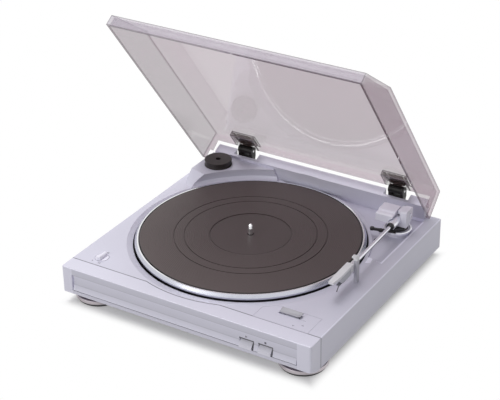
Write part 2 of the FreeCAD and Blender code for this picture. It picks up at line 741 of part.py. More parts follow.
MOTOR_X, MOTOR_Y = polar(S.motor_distance, S.motor_angle)
CAM_X, CAM_Y = polar(S.cam_distance, S.cam_angle)
KNOB_SHAFT = term(2.5)
GLANDS = [("GlandSignal", S.rib_right - S.signal_gland), ("GlandMains", LEFT + S.mains_gland)]


# Fascia

def fascia():
    """Front moulding with its recessed strip, open behind."""
    wall = S.case_wall
    back = SEAM - S.seam_gap
    outer = [(FRONT, S.lip_height), (FRONT, DECK), (back, DECK), (back, S.skirt_height),
             (FRONT + S.chin_depth, S.skirt_height)]
    body = raised("FasciaBlock", outer, LEFT, RIGHT, "YZ_Plane")
    rounded(body, "FasciaCorners", S.corner_round,
            lambda m, d: near(abs(m.x - S.spindle_left.value), S.plinth_width / 2)
            and m.y < FRONT.value + S.chin_depth.value)
    rounded(body, "FasciaEdges", S.edge_round,
            lambda m, d: near(m.z, DECK) and not near(m.y, back))
    inner_front = FRONT + S.strip_depth + wall
    inner = [(inner_front, S.lip_height + wall), (inner_front, CEILING), (back + 1, CEILING),
             (back + 1, S.skirt_height + wall), (FRONT + S.chin_depth + wall, S.skirt_height + wall)]
    hollow = raised("FasciaHollow", inner, LEFT + wall, RIGHT - wall, "YZ_Plane")
    strip = [(FRONT - 1, S.strip_top), (FRONT + S.strip_depth, S.strip_top),
             (FRONT + S.strip_depth, S.strip_step), (FRONT, S.strip_bottom), (FRONT - 1, S.strip_bottom)]
    groove = raised("Strip", strip, -S.strip_left, S.strip_right, "YZ_Plane")
    deep = FRONT + S.strip_depth + 1.2
    frame = box("StripFrame", (-S.strip_left, FRONT - 1, S.strip_bottom), (S.strip_right, deep, S.strip_top))
    field = box("StripField", (S.strip_end_line - S.strip_left, FRONT - 2, S.strip_bottom + S.strip_line),
                (S.strip_right - S.strip_end_line, deep + 1, S.strip_top - S.strip_line))
    line = cut("StripLine", frame, field)
    bulge = rod("FasciaBulge", BULGE + S.seam_gap, (0, 0, DECK - S.bulge_depth - S.seam_gap),
                S.bulge_depth + 1)
    slots = [box("KeySlot%d" % index, (x - S.key_width / 2 - S.key_gap, FRONT - 1, S.key_bottom - S.key_gap),
                 (x + S.key_width / 2 + S.key_gap, inner_front + 1, S.key_top + S.key_gap))
             for index, x in enumerate((S.start_key_x, S.stop_key_x), 1)]
    return node("fascia", cut("Fascia", body, hollow, groove, line, bulge, *slots))


def key(name, label, x):
    """Wedge-shaped key with a flange behind the fascia and a stem for its switch."""
    half = S.key_width / 2
    inner_front = FRONT + S.strip_depth + S.case_wall
    seat = inner_front + 0.1
    face = FRONT - S.key_proud
    side = [(seat, S.key_top), (face + 1.6, S.key_brow + 1.4), (face, S.key_brow), (face, S.key_bottom),
            (seat, S.key_bottom)]
    wedge = raised(name + "Wedge", side, x - half, x + half, "YZ_Plane")
    wide = 1.5
    flange = box(name + "Flange", (x - half - wide, seat, S.key_bottom - wide),
                 (x + half + wide, seat + wide, S.key_top + wide))
    middle = (S.key_top + S.key_bottom) / 2
    stem = rod(name + "Stem", 2, (x, seat + wide - 0.5, middle), STEM_LENGTH + 0.5, "Y")
    return node(label, join(name, wedge, flange, stem))


STEM_LENGTH = term(1.5)
SWITCH_FRONT = FRONT + S.strip_depth + S.case_wall + 0.1 + 1.5 + STEM_LENGTH + S.key_travel + 0.2
BOARD_FRONT = SWITCH_FRONT + 3


def key_electrics():
    """Two switches on the upright circuit board behind the fascia."""
    middle = (S.key_top + S.key_bottom) / 2
    switches = []
    for name, x in (("StartSwitch", S.start_key_x), ("StopSwitch", S.stop_key_x)):
        case = box(name + "Case", (x - 3, SWITCH_FRONT + 0.6, middle - 3), (x + 3, BOARD_FRONT, middle + 3))
        cap = rod(name + "Cap", 1.5, (x, SWITCH_FRONT, middle), 1, "Y")
        switches.append(join(name, case, cap))
    node("key_switches", group("KeySwitches", *switches))
    left = S.start_key_x - 22
    right = S.stop_key_x + 20
    board = box("Board", (left, BOARD_FRONT, BOTTOM_TOP + 2), (right, BOARD_FRONT + 1.6, CEILING - 6))
    back = BOARD_FRONT + 1.6
    chips = [box("Chip%d" % index, (left + 6 + 15 * index, back - 0.1, BOTTOM_TOP + 12),
                 (left + 15 + 15 * index, back + 2.2, BOTTOM_TOP + 18)) for index in range(4)]
    caps = [rod("Capacitor%d" % index, 2.5, (left + 8 + 18 * index, back - 0.1, BOTTOM_TOP + 6), 2.6, "Y")
            for index in range(3)]
    return node("circuit_board", join("CircuitBoard", board, *(chips + caps)))


# Cue panel and lever

def cue_panel():
    """Inset plate round the cue lever."""
    gap = S.panel_gap
    plate = box("CuePlate", (S.panel_left + gap, SEAM, DECK - S.panel_plate),
                (S.panel_right - gap, -S.panel_rear - gap, DECK))
    arc = rod("CueArc", S.panel_arc_radius + gap, (0, 0, 0), DECK + 1)
    return node("cue_panel", cut("CuePanel", plate, arc, finger_recess("PanelRecess"), stem_slot("PanelSlot")))


def cue_lever():
    """Finger tab with a sloping face, on a stem that turns on the bracket's pin."""
    x = S.lever_pivot_x
    z = S.lever_pivot_z
    under = DECK + S.lever_lift
    top = under + S.lever_tab
    half = S.lever_pin_radius + 1
    front = -S.lever_front
    rear = front + S.lever_width
    brow = under + 0.8
    free = [(front, under), (rear, under), (rear, top), (front + 0.8, brow + 0.2), (front, brow)]
    heel = [(front, under + 1.6), (rear, under + 1.6), (rear, top), (rear - S.lever_width / 2, brow + 1.2),
            (front, brow + 1)]
    middle = [(front, under), (rear, under), (rear, top), (rear - S.lever_width / 2, brow + 0.8), (front, brow)]
    tab = lofted("LeverTab", [(x - S.lever_reach, free), (x + half, middle), (x + S.lever_heel, heel)], "YZ_Plane")
    stem = box("LeverStem", (x - half, STEM_FRONT, z - half), (x + half, STEM_REAR, under + 0.5))
    bore = rod("LeverBore", S.lever_pin_radius + 0.08, (x, STEM_FRONT - 1, z), S.lever_stem + 2, "Y")
    return node("cue_lever", cut("CueLever", join("LeverBlade", tab, stem), bore))


def cue_bracket():
    """Two ears under the deck with the pin that the lever turns on."""
    x = S.lever_pivot_x
    z = S.lever_pivot_z
    gap = 0.3
    ear = 2
    top = CEILING - S.recess_depth
    half = S.lever_pin_radius + 2
    ends = [STEM_FRONT - gap - ear, STEM_REAR + gap]
    ears = [box("CueEar%d" % index, (x - half, y, z - half), (x + half, y + ear, top))
            for index, y in enumerate(ends)]
    plate = [box("CueFoot%d" % index, (x - half - 4, y + shift, top - 1.5),
                 (x + half + 4, y + shift + ear + 3, top))
             for index, (y, shift) in enumerate(zip(ends, (-3, 0)))]
    pin = rod("CuePin", S.lever_pin_radius, (x, ends[0] + 0.1, z), S.lever_stem + 2 * gap + 2 * ear - 0.2, "Y")
    tie = box("CueTie", (x - half, ends[0], z - half - 1.5), (x + half, ends[1] + ear, z - half))
    return node("cue_bracket", join("CueBracket", pin, tie, *(ears + plate)))


# Speed selector

def speed_knob():
    """Disc with a raised bar grip, on a shaft through the deck."""
    floor = DECK - S.knob_dish_depth
    radius = S.knob_dish_radius - S.knob_gap
    disc = rod("KnobDisc", radius, (0, 0, floor + 0.3), 1.9)
    half = S.knob_grip_width / 2
    crown = DECK + S.knob_grip_height
    bar = raised("KnobBar", [(-half - 0.5, floor + 1), (half + 0.5, floor + 1), (half, crown - 1.5),
                             (half - 1.3, crown), (1.3 - half, crown), (-half, crown - 1.5)],
                 -radius, radius, "XZ_Plane")
    grip = overlap("KnobGrip", bar, rod("KnobLimit", radius - 0.6, (0, 0, 0), DECK + OVER))
    shaft = rod("KnobShaft", KNOB_SHAFT, (0, 0, SWITCH_TOP - 3), floor + 1 - SWITCH_TOP + 3)
    item = join("SpeedKnob", disc, grip, shaft)
    bind(item, ".Placement.Rotation.Angle", S.knob_turn)
    return node("speed_knob", put(item, KNOB_X, -S.knob_y))


SWITCH_TOP = CEILING - S.case_wall - 1


def speed_switch():
    """Slide switch under the deck that the knob's shaft turns."""
    case = box("SwitchCase", (-8, -7, SWITCH_TOP - 9), (8, 7, SWITCH_TOP))
    bore = rod("SwitchBore", KNOB_SHAFT + 0.06, (0, 0, SWITCH_TOP - 5), 6)
    posts = [rod("SwitchPost%d" % index, 1.6, (x, 0, SWITCH_TOP - 0.5), 1.5)
             for index, x in enumerate((-6, 6))]
    return node("speed_switch", put(cut("SpeedSwitch", join("SwitchBody", case, *posts), bore),
                                    KNOB_X, -S.knob_y))


# Bottom and feet

def bottom_cover():
    """Bottom plate with cooling slots, set between the walls."""
    left = LEFT + S.case_wall + S.bottom_gap
    right = RIGHT - S.case_wall - S.bottom_gap
    rear = REAR - S.case_wall - S.bottom_gap
    plate = raised("BottomPlate", [(left, SEAM), (right, SEAM), (right, rear), (left, rear)],
                   BOTTOM, BOTTOM_TOP)
    slots = []
    for index in range(6):
        x = LEFT + S.slot_side + S.slot_pitch * index
        slots.append(box("Slot%d" % index, (x, REAR - S.slot_inset - S.slot_length, 0),
                         (x + S.slot_width, REAR - S.slot_inset, BOTTOM_TOP + 1)))
    holes = [rod("BottomHole%d" % index, S.screw_radius + 0.3, (x, y, 0), BOTTOM_TOP + 1)
             for index, (x, y) in enumerate(BOSSES, 1)]
    sinks = [rod("BottomSink%d" % index, S.screw_head_radius + 0.3, (x, y, 0), BOTTOM + 1.2)
             for index, (x, y) in enumerate(BOSSES, 1)]
    foot_holes = [rod("FootHole%d" % index, S.screw_radius + 0.3, (x, y, 0), BOTTOM_TOP + 1)
                  for index, (name, x, y) in enumerate(foot_places(), 1)]
    return node("bottom_cover", cut("BottomCover", plate, *(slots + holes + sinks + foot_holes)))


def bottom_screws():
    """Screws of the bottom cover."""
    screws = []
    for index, (x, y) in enumerate(BOSSES, 1):
        head = rod("ScrewHead%d" % index, S.screw_head_radius, (x, y, BOTTOM), 1.2)
        shank = rod("ScrewShank%d" % index, S.screw_radius - 0.05, (x, y, BOTTOM + 0.5), S.screw_length)
        screws.append(join("BottomScrew%d" % index, head, shank))
    return node("bottom_screws", group("BottomScrews", *screws))


def foot_places():
    """Name and place of the four feet."""
    places = []
    for depth, inset, y in (("front", S.foot_side, FRONT + S.foot_inset),
                            ("rear", S.rear_foot_side, REAR - S.rear_foot_inset)):
        for side, x in (("left", LEFT + inset), ("right", RIGHT - inset)):
            places.append(("%s_%s" % (depth, side), x, y))
    return places


def feet():
    """Four feet, each a bright ring on a core and a dark sole, and their screws."""
    screws = []
    for index, (name, x, y) in enumerate(foot_places(), 1):
        ring = S.foot_radius
        sole = S.sole_height
        neck = S.sole_radius - 2
        turned("FootRing%d" % index,
               [(S.screw_head_radius + 3, sole), (ring - 1.4, sole), (ring, sole + 1.6),
                (ring, S.ring_height - 0.6), (ring - 0.6, S.ring_height), (neck, S.ring_height),
                (neck * 0.45, BOTTOM - 0.8), (neck * 0.45, BOTTOM), (S.screw_radius + 0.3, BOTTOM),
                (S.screw_radius + 0.3, sole + 3),
                (S.screw_head_radius + 3, sole + 3)], x, y)
        node("foot_" + name, doc.getObject("FootRing%d" % index))
        turned("FootSole%d" % index,
               [(S.screw_head_radius + 3, 0), (S.sole_radius - 1, 0), (S.sole_radius, 1),
                (S.sole_radius, sole), (S.screw_head_radius + 3, sole)], x, y)
        node("foot_sole_" + name, doc.getObject("FootSole%d" % index))
        head = rod("FootScrewHead%d" % index, S.screw_head_radius, (x, y, sole + 1), 2)
        shank = rod("FootScrewShank%d" % index, S.screw_radius - 0.05, (x, y, sole + 2), BOTTOM_TOP + 3 - sole)
        screws.append(join("FootScrew%d" % index, head, shank))
    return node("foot_screws", group("FootScrews", *screws))


# Platter

def platter():
    """Die-cast platter: disc, polished rim, skirt, drive rim and hub."""
    top = S.mat_top - S.mat_thickness
    under = top - S.platter_plate
    outer = S.platter_radius
    inner = outer - S.skirt_wall
    drive = S.drive_radius
    hub = S.hub_radius
    bore = S.shaft_radius
    outline = [(bore, top), (S.rim_inner_radius, top), (S.rim_inner_radius, S.rim_top),
               (S.rim_inner_radius + S.rim_flat, S.rim_top), (outer, S.rim_edge), (outer, S.platter_bottom),
               (inner, S.platter_bottom), (inner, under),
               (drive, under), (drive, S.drive_bottom), (drive - S.drive_wall, S.drive_bottom),
               (drive - S.drive_wall, under), (hub, under), (hub, S.hub_bottom), (bore, S.hub_bottom)]
    dish_body = turned("PlatterDisc", outline)
    hole_radius = 11
    reach = (drive + inner) / 2
    holes = [rod("BeltHole%d" % index, hole_radius, (reach * sign, 0, 0), S.rim_top)
             for index, sign in enumerate((-1, 1))]
    return node("platter", cut("Platter", dish_body, *holes))


def platter_mat():
    """Rubber mat with ring grooves round a shallow label field."""
    top = S.mat_top
    low = top - S.groove_depth
    half = S.groove_width / 2
    hole = S.shaft_radius + 0.4
    outline = [(hole, top - S.mat_thickness), (hole, top - 0.5)]
    outline += [(S.label_groove - half, top - 0.5), (S.label_groove - half, low), (S.label_groove + half, low),
                (S.label_groove + half, top)]
    for ring in (S.inner_groove, S.outer_groove):
        outline += [(ring - half, top), (ring - half, low), (ring + half, low), (ring + half, top)]
    outline += [(S.mat_radius - 0.6, top), (S.mat_radius, top - 0.6), (S.mat_radius, top - S.mat_thickness)]
    return node("platter_mat", turned("PlatterMat", outline))


def spindle():
    """Spindle with its tapered tip, down into the main bearing."""
    radius = S.spindle_radius
    shaft = S.shaft_radius
    tip = S.mat_top + S.spindle_rise
    step = S.mat_top - S.mat_thickness + 1
    outline = [(0, BEARING_FLOOR + 0.2), (shaft, BEARING_FLOOR + 0.2), (shaft, step), (radius, step),
               (radius, tip - 6), (radius - 0.9, tip - 2.5),
               (radius - 2.2, tip - 0.4), (radius - 3, tip), (0, tip)]
    return node("spindle", turned("Spindle", outline))


BEARING_FLOOR = BOTTOM_TOP + 2


def main_bearing():
    """Bearing bush of the spindle, hung in the well's floor."""
    bore = S.shaft_radius + S.bearing_gap
    outer = S.bush_radius
    flange = outer + 6
    top = S.hub_bottom - 0.6
    outline = [(0, BOTTOM_TOP + 0.2), (outer, BOTTOM_TOP + 0.2), (outer, S.well_floor), (flange, S.well_floor),
               (flange, S.well_floor + 2), (outer, S.well_floor + 2), (outer - 1, top), (bore, top),
               (bore, BEARING_FLOOR), (0, BEARING_FLOOR)]
    return node("main_bearing", turned("MainBearing", outline))


def belt_path(offset, low, height):
    """Solid bounded by the belt's loop at a distance outside the two rims."""
    big = float(S.drive_radius) + offset
    small = float(S.pulley_radius) + offset
    length = float(S.motor_distance)
    lean = math.acos((big - small) / length)
    start = math.radians(float(S.motor_angle))
    ends = []
    for sign in (1, -1):
        side = FreeCAD.Vector(math.cos(start + sign * lean), math.sin(start + sign * lean), 0)
        motor = FreeCAD.Vector(length * math.cos(start), length * math.sin(start), 0)
        ends.append((side * big, motor + side * small))
    far = FreeCAD.Vector(-big * math.cos(start), -big * math.sin(start), 0)
    tip = FreeCAD.Vector((length + small) * math.cos(start), (length + small) * math.sin(start), 0)
    edges = [Part.Arc(ends[1][0], far, ends[0][0]).toShape(),
             Part.LineSegment(ends[0][0], ends[0][1]).toShape(),
             Part.Arc(ends[0][1], tip, ends[1][1]).toShape(),
             Part.LineSegment(ends[1][1], ends[1][0]).toShape()]
    face = Part.Face(Part.Wire(edges))
    face.translate(FreeCAD.Vector(0, 0, low))
    return face.extrude(FreeCAD.Vector(0, 0, height))


def drive_belt():
    """Flat belt round the drive rim and the motor's pulley."""
    gap = float(S.belt_gap)
    low = float(S.belt_bottom)
    height = float(S.belt_height)
    outer = belt_path(gap + float(S.belt_thickness), low, height)
    item = doc.addObject("Part::Feature", "DriveBelt")
    item.Shape = outer.cut(belt_path(gap, low, height))
    return node("drive_belt", item)


def motor():
    """Motor under the well's floor, with its pulley above it, its bracket and its screws."""
    top = FLOOR_UNDER - 1.6
    can = turned("MotorCan", [(0, BOTTOM_TOP + 1), (S.motor_radius - 1, BOTTOM_TOP + 1),
                              (S.motor_radius, BOTTOM_TOP + 2), (S.motor_radius, top),
                              (S.motor_shaft_radius + 2, top), (S.motor_shaft_radius + 2, top + 1),
                              (S.motor_shaft_radius, top + 1), (S.motor_shaft_radius, S.belt_bottom + S.belt_height + 1.5),
                              (0, S.belt_bottom + S.belt_height + 1.5)], MOTOR_X, MOTOR_Y)
    node("motor", can)
    reach = S.motor_radius + 6
    ears = [rod("MotorEar%d" % index, 4.5, (reach * sign, 0, top), 1.6) for index, sign in enumerate((-1, 1))]
    plate = join("MotorPlate", rod("MotorDisc", S.motor_radius + 1, (0, 0, top), 1.6),
                 box("MotorBar", (-reach, -4.5, top), (reach, 4.5, top + 1.6)), *ears)
    holes = [rod("MotorPlateHole", S.motor_shaft_radius + 3, (0, 0, 0), FLOOR_UNDER + 1)]
    holes += [rod("MotorEarHole%d" % index, S.screw_radius + 0.2, (reach * sign, 0, 0), FLOOR_UNDER + 1)
              for index, sign in enumerate((-1, 1))]
    bracket = cut("MotorBracket", plate, *holes)
    node("motor_bracket", put(bracket, MOTOR_X, MOTOR_Y))
    heads = [rod("MotorScrew%d" % index, S.screw_head_radius, (reach * sign, 0, top - 1.8), 1.8)
             for index, sign in enumerate((-1, 1))]
    node("motor_screws", put(group("MotorScrews", *heads), MOTOR_X, MOTOR_Y))
    radius = S.pulley_radius
    edge = radius + S.pulley_flange
    low = S.belt_bottom - 1
    high = S.belt_bottom + S.belt_height + 1
    bore = S.motor_shaft_radius + 0.05
    pulley = turned("MotorPulley", [(bore, low - 1.2), (edge, low - 1.2), (edge, low), (radius, low + 0.6),
                                    (radius, high - 0.6), (edge, high), (edge, high + 0.8), (bore, high + 0.8)],
                    MOTOR_X, MOTOR_Y)
    return node("motor_pulley", pulley)


def cam_gear():
    """Cam gear of the arm's return: teeth all round but for the gap that faces the hub."""
    base = S.well_floor + 1.2
    teeth = 48
    blank = 4
    root = float(S.cam_radius)
    height = float(S.cam_tooth)
    pitch = 2 * math.pi / teeth
    toward = math.radians(float(S.cam_angle)) + math.pi
    points = []
    for index in range(teeth):
        start = toward + pitch * index
        if min(index, teeth - index) < blank:
            points += [(root, start), (root, start + pitch / 2)]
            continue
        points += [(root, start), (root + height, start + pitch * 0.15),
                   (root + height, start + pitch * 0.35), (root, start + pitch * 0.5)]
    corners = [FreeCAD.Vector(reach * math.cos(angle), reach * math.sin(angle), 0) for reach, angle in points]
    wire = Part.makePolygon(corners + [corners[0]])
    disc = Part.Face(wire).extrude(FreeCAD.Vector(0, 0, float(S.cam_thickness)))
    bore = Part.makeCylinder(float(S.cam_bore_radius) + 0.08, 20, FreeCAD.Vector(0, 0, -5))
    middles = [FreeCAD.Vector(root * 0.6 * math.cos(turn), root * 0.6 * math.sin(turn), -5)
               for turn in (0, math.pi / 2, math.pi, -math.pi / 2)]
    windows = [Part.makeCylinder(root / 5, 20, middle) for middle in middles]
    item = doc.addObject("Part::Feature", "CamGear")
    item.Shape = disc.cut(bore).cut(Part.makeCompound(windows))
    node("cam_gear", put(item, CAM_X, CAM_Y, base))
    post = turned("CamPost", [(0, S.well_floor), (S.cam_bore_radius + 3, S.well_floor),
                              (S.cam_bore_radius + 3, base - 0.2), (S.cam_bore_radius, base - 0.2),
                              (S.cam_bore_radius, base + S.cam_thickness + 0.6),
                              (0, base + S.cam_thickness + 0.6)], CAM_X, CAM_Y)
    return node("cam_post", post)


def transformer():
    """Mains transformer: core and winding."""
    x = LEFT + 33
    y = REAR - 21
    core = box("Core", (x - 17, y - 14, BOTTOM_TOP), (x + 17, y + 14, BOTTOM_TOP + 27))
    coil = box("Coil", (x - 10, y - 17, BOTTOM_TOP + 5), (x + 10, y + 17, BOTTOM_TOP + 22))
    return node("transformer", join("Transformer", core, coil))


def glands():
    """Rubber bushings in the rear wall, with their bores empty."""
    wall = S.case_wall
    for label, (name, x) in zip(("signal_gland", "mains_gland"), GLANDS):
        flange = S.gland_radius + 2
        inner = REAR - wall
        bush = join(name + "Bush", rod(name + "Body", S.gland_radius, (x, inner - 3, S.gland_z), wall + 3, "Y"),
                    rod(name + "Flange", flange, (x, REAR, S.gland_z), 2.2, "Y"),
                    rod(name + "Lip", S.gland_radius + 1, (x, inner - 3, S.gland_z), 3, "Y"))
        bore = rod(name + "Bore", S.gland_bore_radius, (x, inner - 4, S.gland_z), wall + 8, "Y")
        node(label, cut(name, bush, bore))


# Tonearm: local places count from the upright pivot, at the height of the level pivot

def on_arm(item):
    """Place a piece that is drawn from the arm's two pivots."""
    bind(item, ".Placement.Rotation.Angle", S.arm_turn)
    return put(item, S.pivot_x, S.pivot_y, S.tilt_z)


def arm_base():
    """Round base with the post of the upright pivot."""
    floor = DECK - S.recess_depth
    outline = [(0, floor), (S.base_radius, floor), (S.base_radius, S.base_top - 1.5),
               (S.base_radius - 1.5, S.base_top), (S.neck_radius + 4, S.base_top),
               (S.neck_radius + 4, S.neck_bottom - 0.3), (S.post_radius, S.neck_bottom - 0.3),
               (S.post_radius, POST_TOP), (0, POST_TOP)]
    body = turned("ArmBaseBody", outline, S.pivot_x, S.pivot_y)
    stem_hole = rod("LiftStemHole", LIFT_STEM + 0.1, (LIFT_X, LIFT_Y, 0), DECK + 10)
    node("arm_base", cut("ArmBase", body, stem_hole))
    inner = S.base_radius + 0.05
    outer = S.base_radius + S.base_ring_width
    top = S.base_top + 0.4
    ring = turned("BaseRing", [(inner, DECK + 0.4), (outer, DECK + 0.4), (outer, top - 0.8), (outer - 0.8, top),
                               (inner, top)], S.pivot_x, S.pivot_y)
    node("base_ring", ring)
    cap = S.cap_radius
    crown = floor + 2.8
    caps = [turned("Cap%d" % index, [(0, floor), (cap, floor), (cap, crown - 0.8), (cap - 0.8, crown), (0, crown)], x, y)
            for index, (x, y) in enumerate(((142, 78), (135, 104)), 1)]
    return node("recess_caps", group("RecessCaps", *caps))


POST_TOP = S.tilt_z - S.lid_bottom - 2
LIFT_STEM = term(1.5)
LIFT_X = S.pivot_x - 3
LIFT_Y = S.pivot_y - S.lift_inner_radius - 1
LIFT_TOP = S.tilt_z - S.housing_bottom - S.lift_gap


def lift_bar():
    """Bar under the arm: an arc round the pivot, an arm to the front left and its stem."""
    low = LIFT_TOP - S.lift_thickness
    ring = turned("LiftRing", [(S.lift_inner_radius, low), (S.lift_inner_radius + S.lift_width, low),
                               (S.lift_inner_radius + S.lift_width, LIFT_TOP),
                               (S.lift_inner_radius, LIFT_TOP)], S.pivot_x, S.pivot_y)
    reach = S.lift_inner_radius + S.lift_width
    sector = box("LiftSector", (S.pivot_x - reach * 0.4, S.pivot_y - reach - 1, low - 1),
                 (S.pivot_x + reach * 0.8, S.pivot_y - reach * 0.3, LIFT_TOP + 1))
    arc = overlap("LiftArc", ring, sector)
    lug_low = S.base_top + 0.8
    lug_top = lug_low + S.lift_thickness
    bar = [(S.pivot_x - S.lift_arm_reach, S.pivot_y - 26), (S.pivot_x + 6, S.pivot_y - 18.5),
           (S.pivot_x + 5, S.pivot_y - 15), (S.pivot_x - S.lift_arm_reach - 1.4, S.pivot_y - 22.5)]
    arm = raised("LiftArm", bar, lug_low, lug_top)
    lug = box("LiftLug", (LIFT_X - 2, S.pivot_y - 19, lug_low), (LIFT_X + 2, LIFT_Y + 1, lug_top))
    tip = rod("LiftTip", 2.9, (S.pivot_x - S.lift_arm_reach, S.pivot_y - 24, lug_low), S.lift_thickness + 0.8)
    stem = rod("LiftStem", LIFT_STEM, (LIFT_X, LIFT_Y, DECK - 1), low - DECK + 2)
    return node("lift_bar", join("LiftBar", arc, arm, lug, tip, stem))


def arm_yoke():
    """Stepped cover of the bearing on its neck, cut out round the arm's sleeve."""
    step = 2
    side = [(-S.lid_front, -S.lid_bottom), (-S.lid_front, S.lid_top - 3), (-S.lid_front + 3, S.lid_top - step),
            (-S.lid_front + 8, S.lid_top - step), (-S.lid_front + 10, S.lid_top),
            (S.lid_rear - 2, S.lid_top), (S.lid_rear, S.lid_top - 2), (S.lid_rear, -S.lid_bottom)]
    lid = raised("YokeLid", side, -S.lid_left, S.lid_right, "YZ_Plane")
    rounded(lid, "YokeEdges", 1.2, lambda m, d: near(m.x, -S.lid_left) and m.z > -S.lid_bottom.value + 1)
    neck_low = S.neck_bottom - S.tilt_z
    neck = rod("YokeNeck", S.neck_radius, (0, 0, neck_low), -S.lid_bottom - neck_low + 1)
    bore = rod("YokeBore", S.post_radius + S.bearing_gap, (0, 0, neck_low - 1), POST_TOP - S.neck_bottom + 1.4)
    sleeve = rod("YokeSleeveRoom", S.sleeve_radius + 1.6, (S.tube_side, -S.lid_front - OVER, -S.tube_drop),
                 S.lid_front - S.housing_front + OVER + S.housing_front - S.neck_radius - 1, "Y")
    pin_hole = rod("YokePinHole", S.pin_radius, (-OVER, 0, 0), 2 * OVER, "X")
    return node("arm_yoke", on_arm(cut("ArmYoke", join("YokeBody", lid, neck), bore, sleeve, pin_hole)))


def pivot_pin():
    """Pin of the level pivot, fixed in the yoke."""
    start = -OVER + 0.5
    end = S.housing_left + S.housing_width + 0.4
    bar = rod("PinRod", S.pin_radius - 0.01, (start, 0, 0), end - start, "X")
    head = rod("PinHead", S.pin_radius + 0.8, (end - 0.3, 0, 0), 0.9, "X")
    return node("pivot_pin", on_arm(join("PivotPin", bar, head)))


def arm_housing():
    """Cheek of the tilting arm with its roof, its nose for the sleeve and its foot."""
    left = S.housing_left
    right = left + S.housing_width
    cheek_side = [(-S.housing_front, -S.housing_bottom), (-S.housing_front, S.housing_top - 2),
                  (-S.housing_front + 2, S.housing_top), (S.housing_rear - 1, S.housing_top),
                  (S.housing_rear, S.housing_top - 1), (S.housing_rear, -S.housing_bottom / 2),
                  (-S.housing_front + 6, -S.housing_bottom)]
    cheek = raised("Cheek", cheek_side, left, right, "YZ_Plane")
    roof = box("CheekRoof", (S.lid_right + 1, -S.housing_front + 2, S.pin_radius + 1.2),
               (left + 1, S.housing_rear - 2, S.housing_top - 0.8))
    nose = rod("CheekNose", S.sleeve_radius, (S.tube_side, -S.housing_front, -S.tube_drop),
               S.housing_front - S.neck_radius - 3.5, "Y")
    bore = rod("CheekBore", S.pin_radius + S.bearing_gap, (0, 0, 0), right + 1, "X")
    return node("arm_housing", on_arm(cut("ArmHousing", join("HousingBody", cheek, roof, nose), bore)))


def arm_tube():
    """Tube, the sleeve that holds it and the dark collar on the sleeve's end."""
    start = (S.tube_side, -S.sleeve_front, -S.tube_drop)
    length = S.sleeve_front - S.sleeve_rear
    sleeve = cut("ArmSleeve", rod("SleeveRod", S.sleeve_radius, start, length, "Y"),
                 rod("SleeveBore", S.tube_radius, start, length, "Y"))
    node("arm_sleeve", on_arm(sleeve))
    collar_start = (S.tube_side, -S.sleeve_front - S.collar_length, -S.tube_drop)
    collar = cut("ArmCollar", rod("CollarRod", S.sleeve_radius - 0.5, collar_start, S.collar_length, "Y"),
                 rod("CollarBore", S.tube_radius, collar_start, S.collar_length, "Y"))
    node("arm_collar", on_arm(collar))
    front = (S.tube_side, -S.tube_front, -S.tube_drop)
    span = S.tube_front - S.sleeve_rear
    tube = cut("ArmTube", rod("TubeRod", S.tube_radius, front, span, "Y"),
               rod("TubeBore", S.tube_bore_radius, front, span, "Y"))
    return node("arm_tube", on_arm(tube))


def counterweight():
    """Weight behind the housing, on its stub."""
    x = S.weight_side
    stub = rod("WeightStub", 2, (x, S.housing_rear, -S.tube_drop), 2, "Y")
    weight = rod("WeightDisc", S.weight_radius, (x, S.housing_rear + 1.5, -S.tube_drop), S.weight_length, "Y")
    return node("counterweight", on_arm(join("Counterweight", stub, weight)))


def headshell():
    """Headshell with its tapering finger plate, and the cartridge under it."""
    half = S.shell_width / 2
    x = S.tube_side
    top = S.shell_top
    plan = [(x - half, -S.shell_rear), (x + half, -S.shell_rear), (x + half, -S.shell_front + 16),
            (x + half - 1.6, -S.shell_front), (x - half + 0.6, -S.shell_front), (x - half, -S.shell_front + 16)]
    plate = raised("ShellPlate", plan, top - S.shell_plate, top)
    low = -S.tube_drop - S.tube_radius - 1.6
    back = box("ShellBack", (x - half, -S.shell_rear - 6, low), (x + half, -S.shell_rear, top - 1))
    socket = rod("ShellSocket", S.tube_radius, (x, -S.tube_front, -S.tube_drop), OVER, "Y")
    node("headshell", on_arm(cut("Headshell", join("ShellBody", plate, back), socket)))
    rear = -S.shell_rear - 6.3
    roof = top - S.shell_plate
    front = rear - S.cartridge_length
    side = [(rear, roof), (rear, roof - S.cartridge_height), (front + 6, roof - S.cartridge_height),
            (front, roof - S.cartridge_height / 2), (front, roof)]
    block = raised("CartridgeBlock", side, x - half + 0.4, x + half - 0.4, "YZ_Plane")
    node("cartridge", on_arm(block))
    tip = S.stylus_tip - S.tilt_z
    base = roof - S.cartridge_height
    reach = -S.stylus_reach
    guard = [(reach + 13, base), (reach + 13, base - 1.6), (reach + 4, base - 1.6), (reach + 2, base - 0.8),
             (reach + 2, base)]
    holder = raised("StylusHolder", guard, x - 1.9, x + 1.9, "YZ_Plane")
    arm = [(reach + 6, base - 1.2), (reach + 6, base - 2.2), (reach + 0.4, tip), (reach - 0.4, tip),
           (reach - 0.6, tip + 0.9)]
    lever = raised("Cantilever", arm, x - 0.5, x + 0.5, "YZ_Plane")
    return node("stylus", on_arm(join("Stylus", holder, lever)))


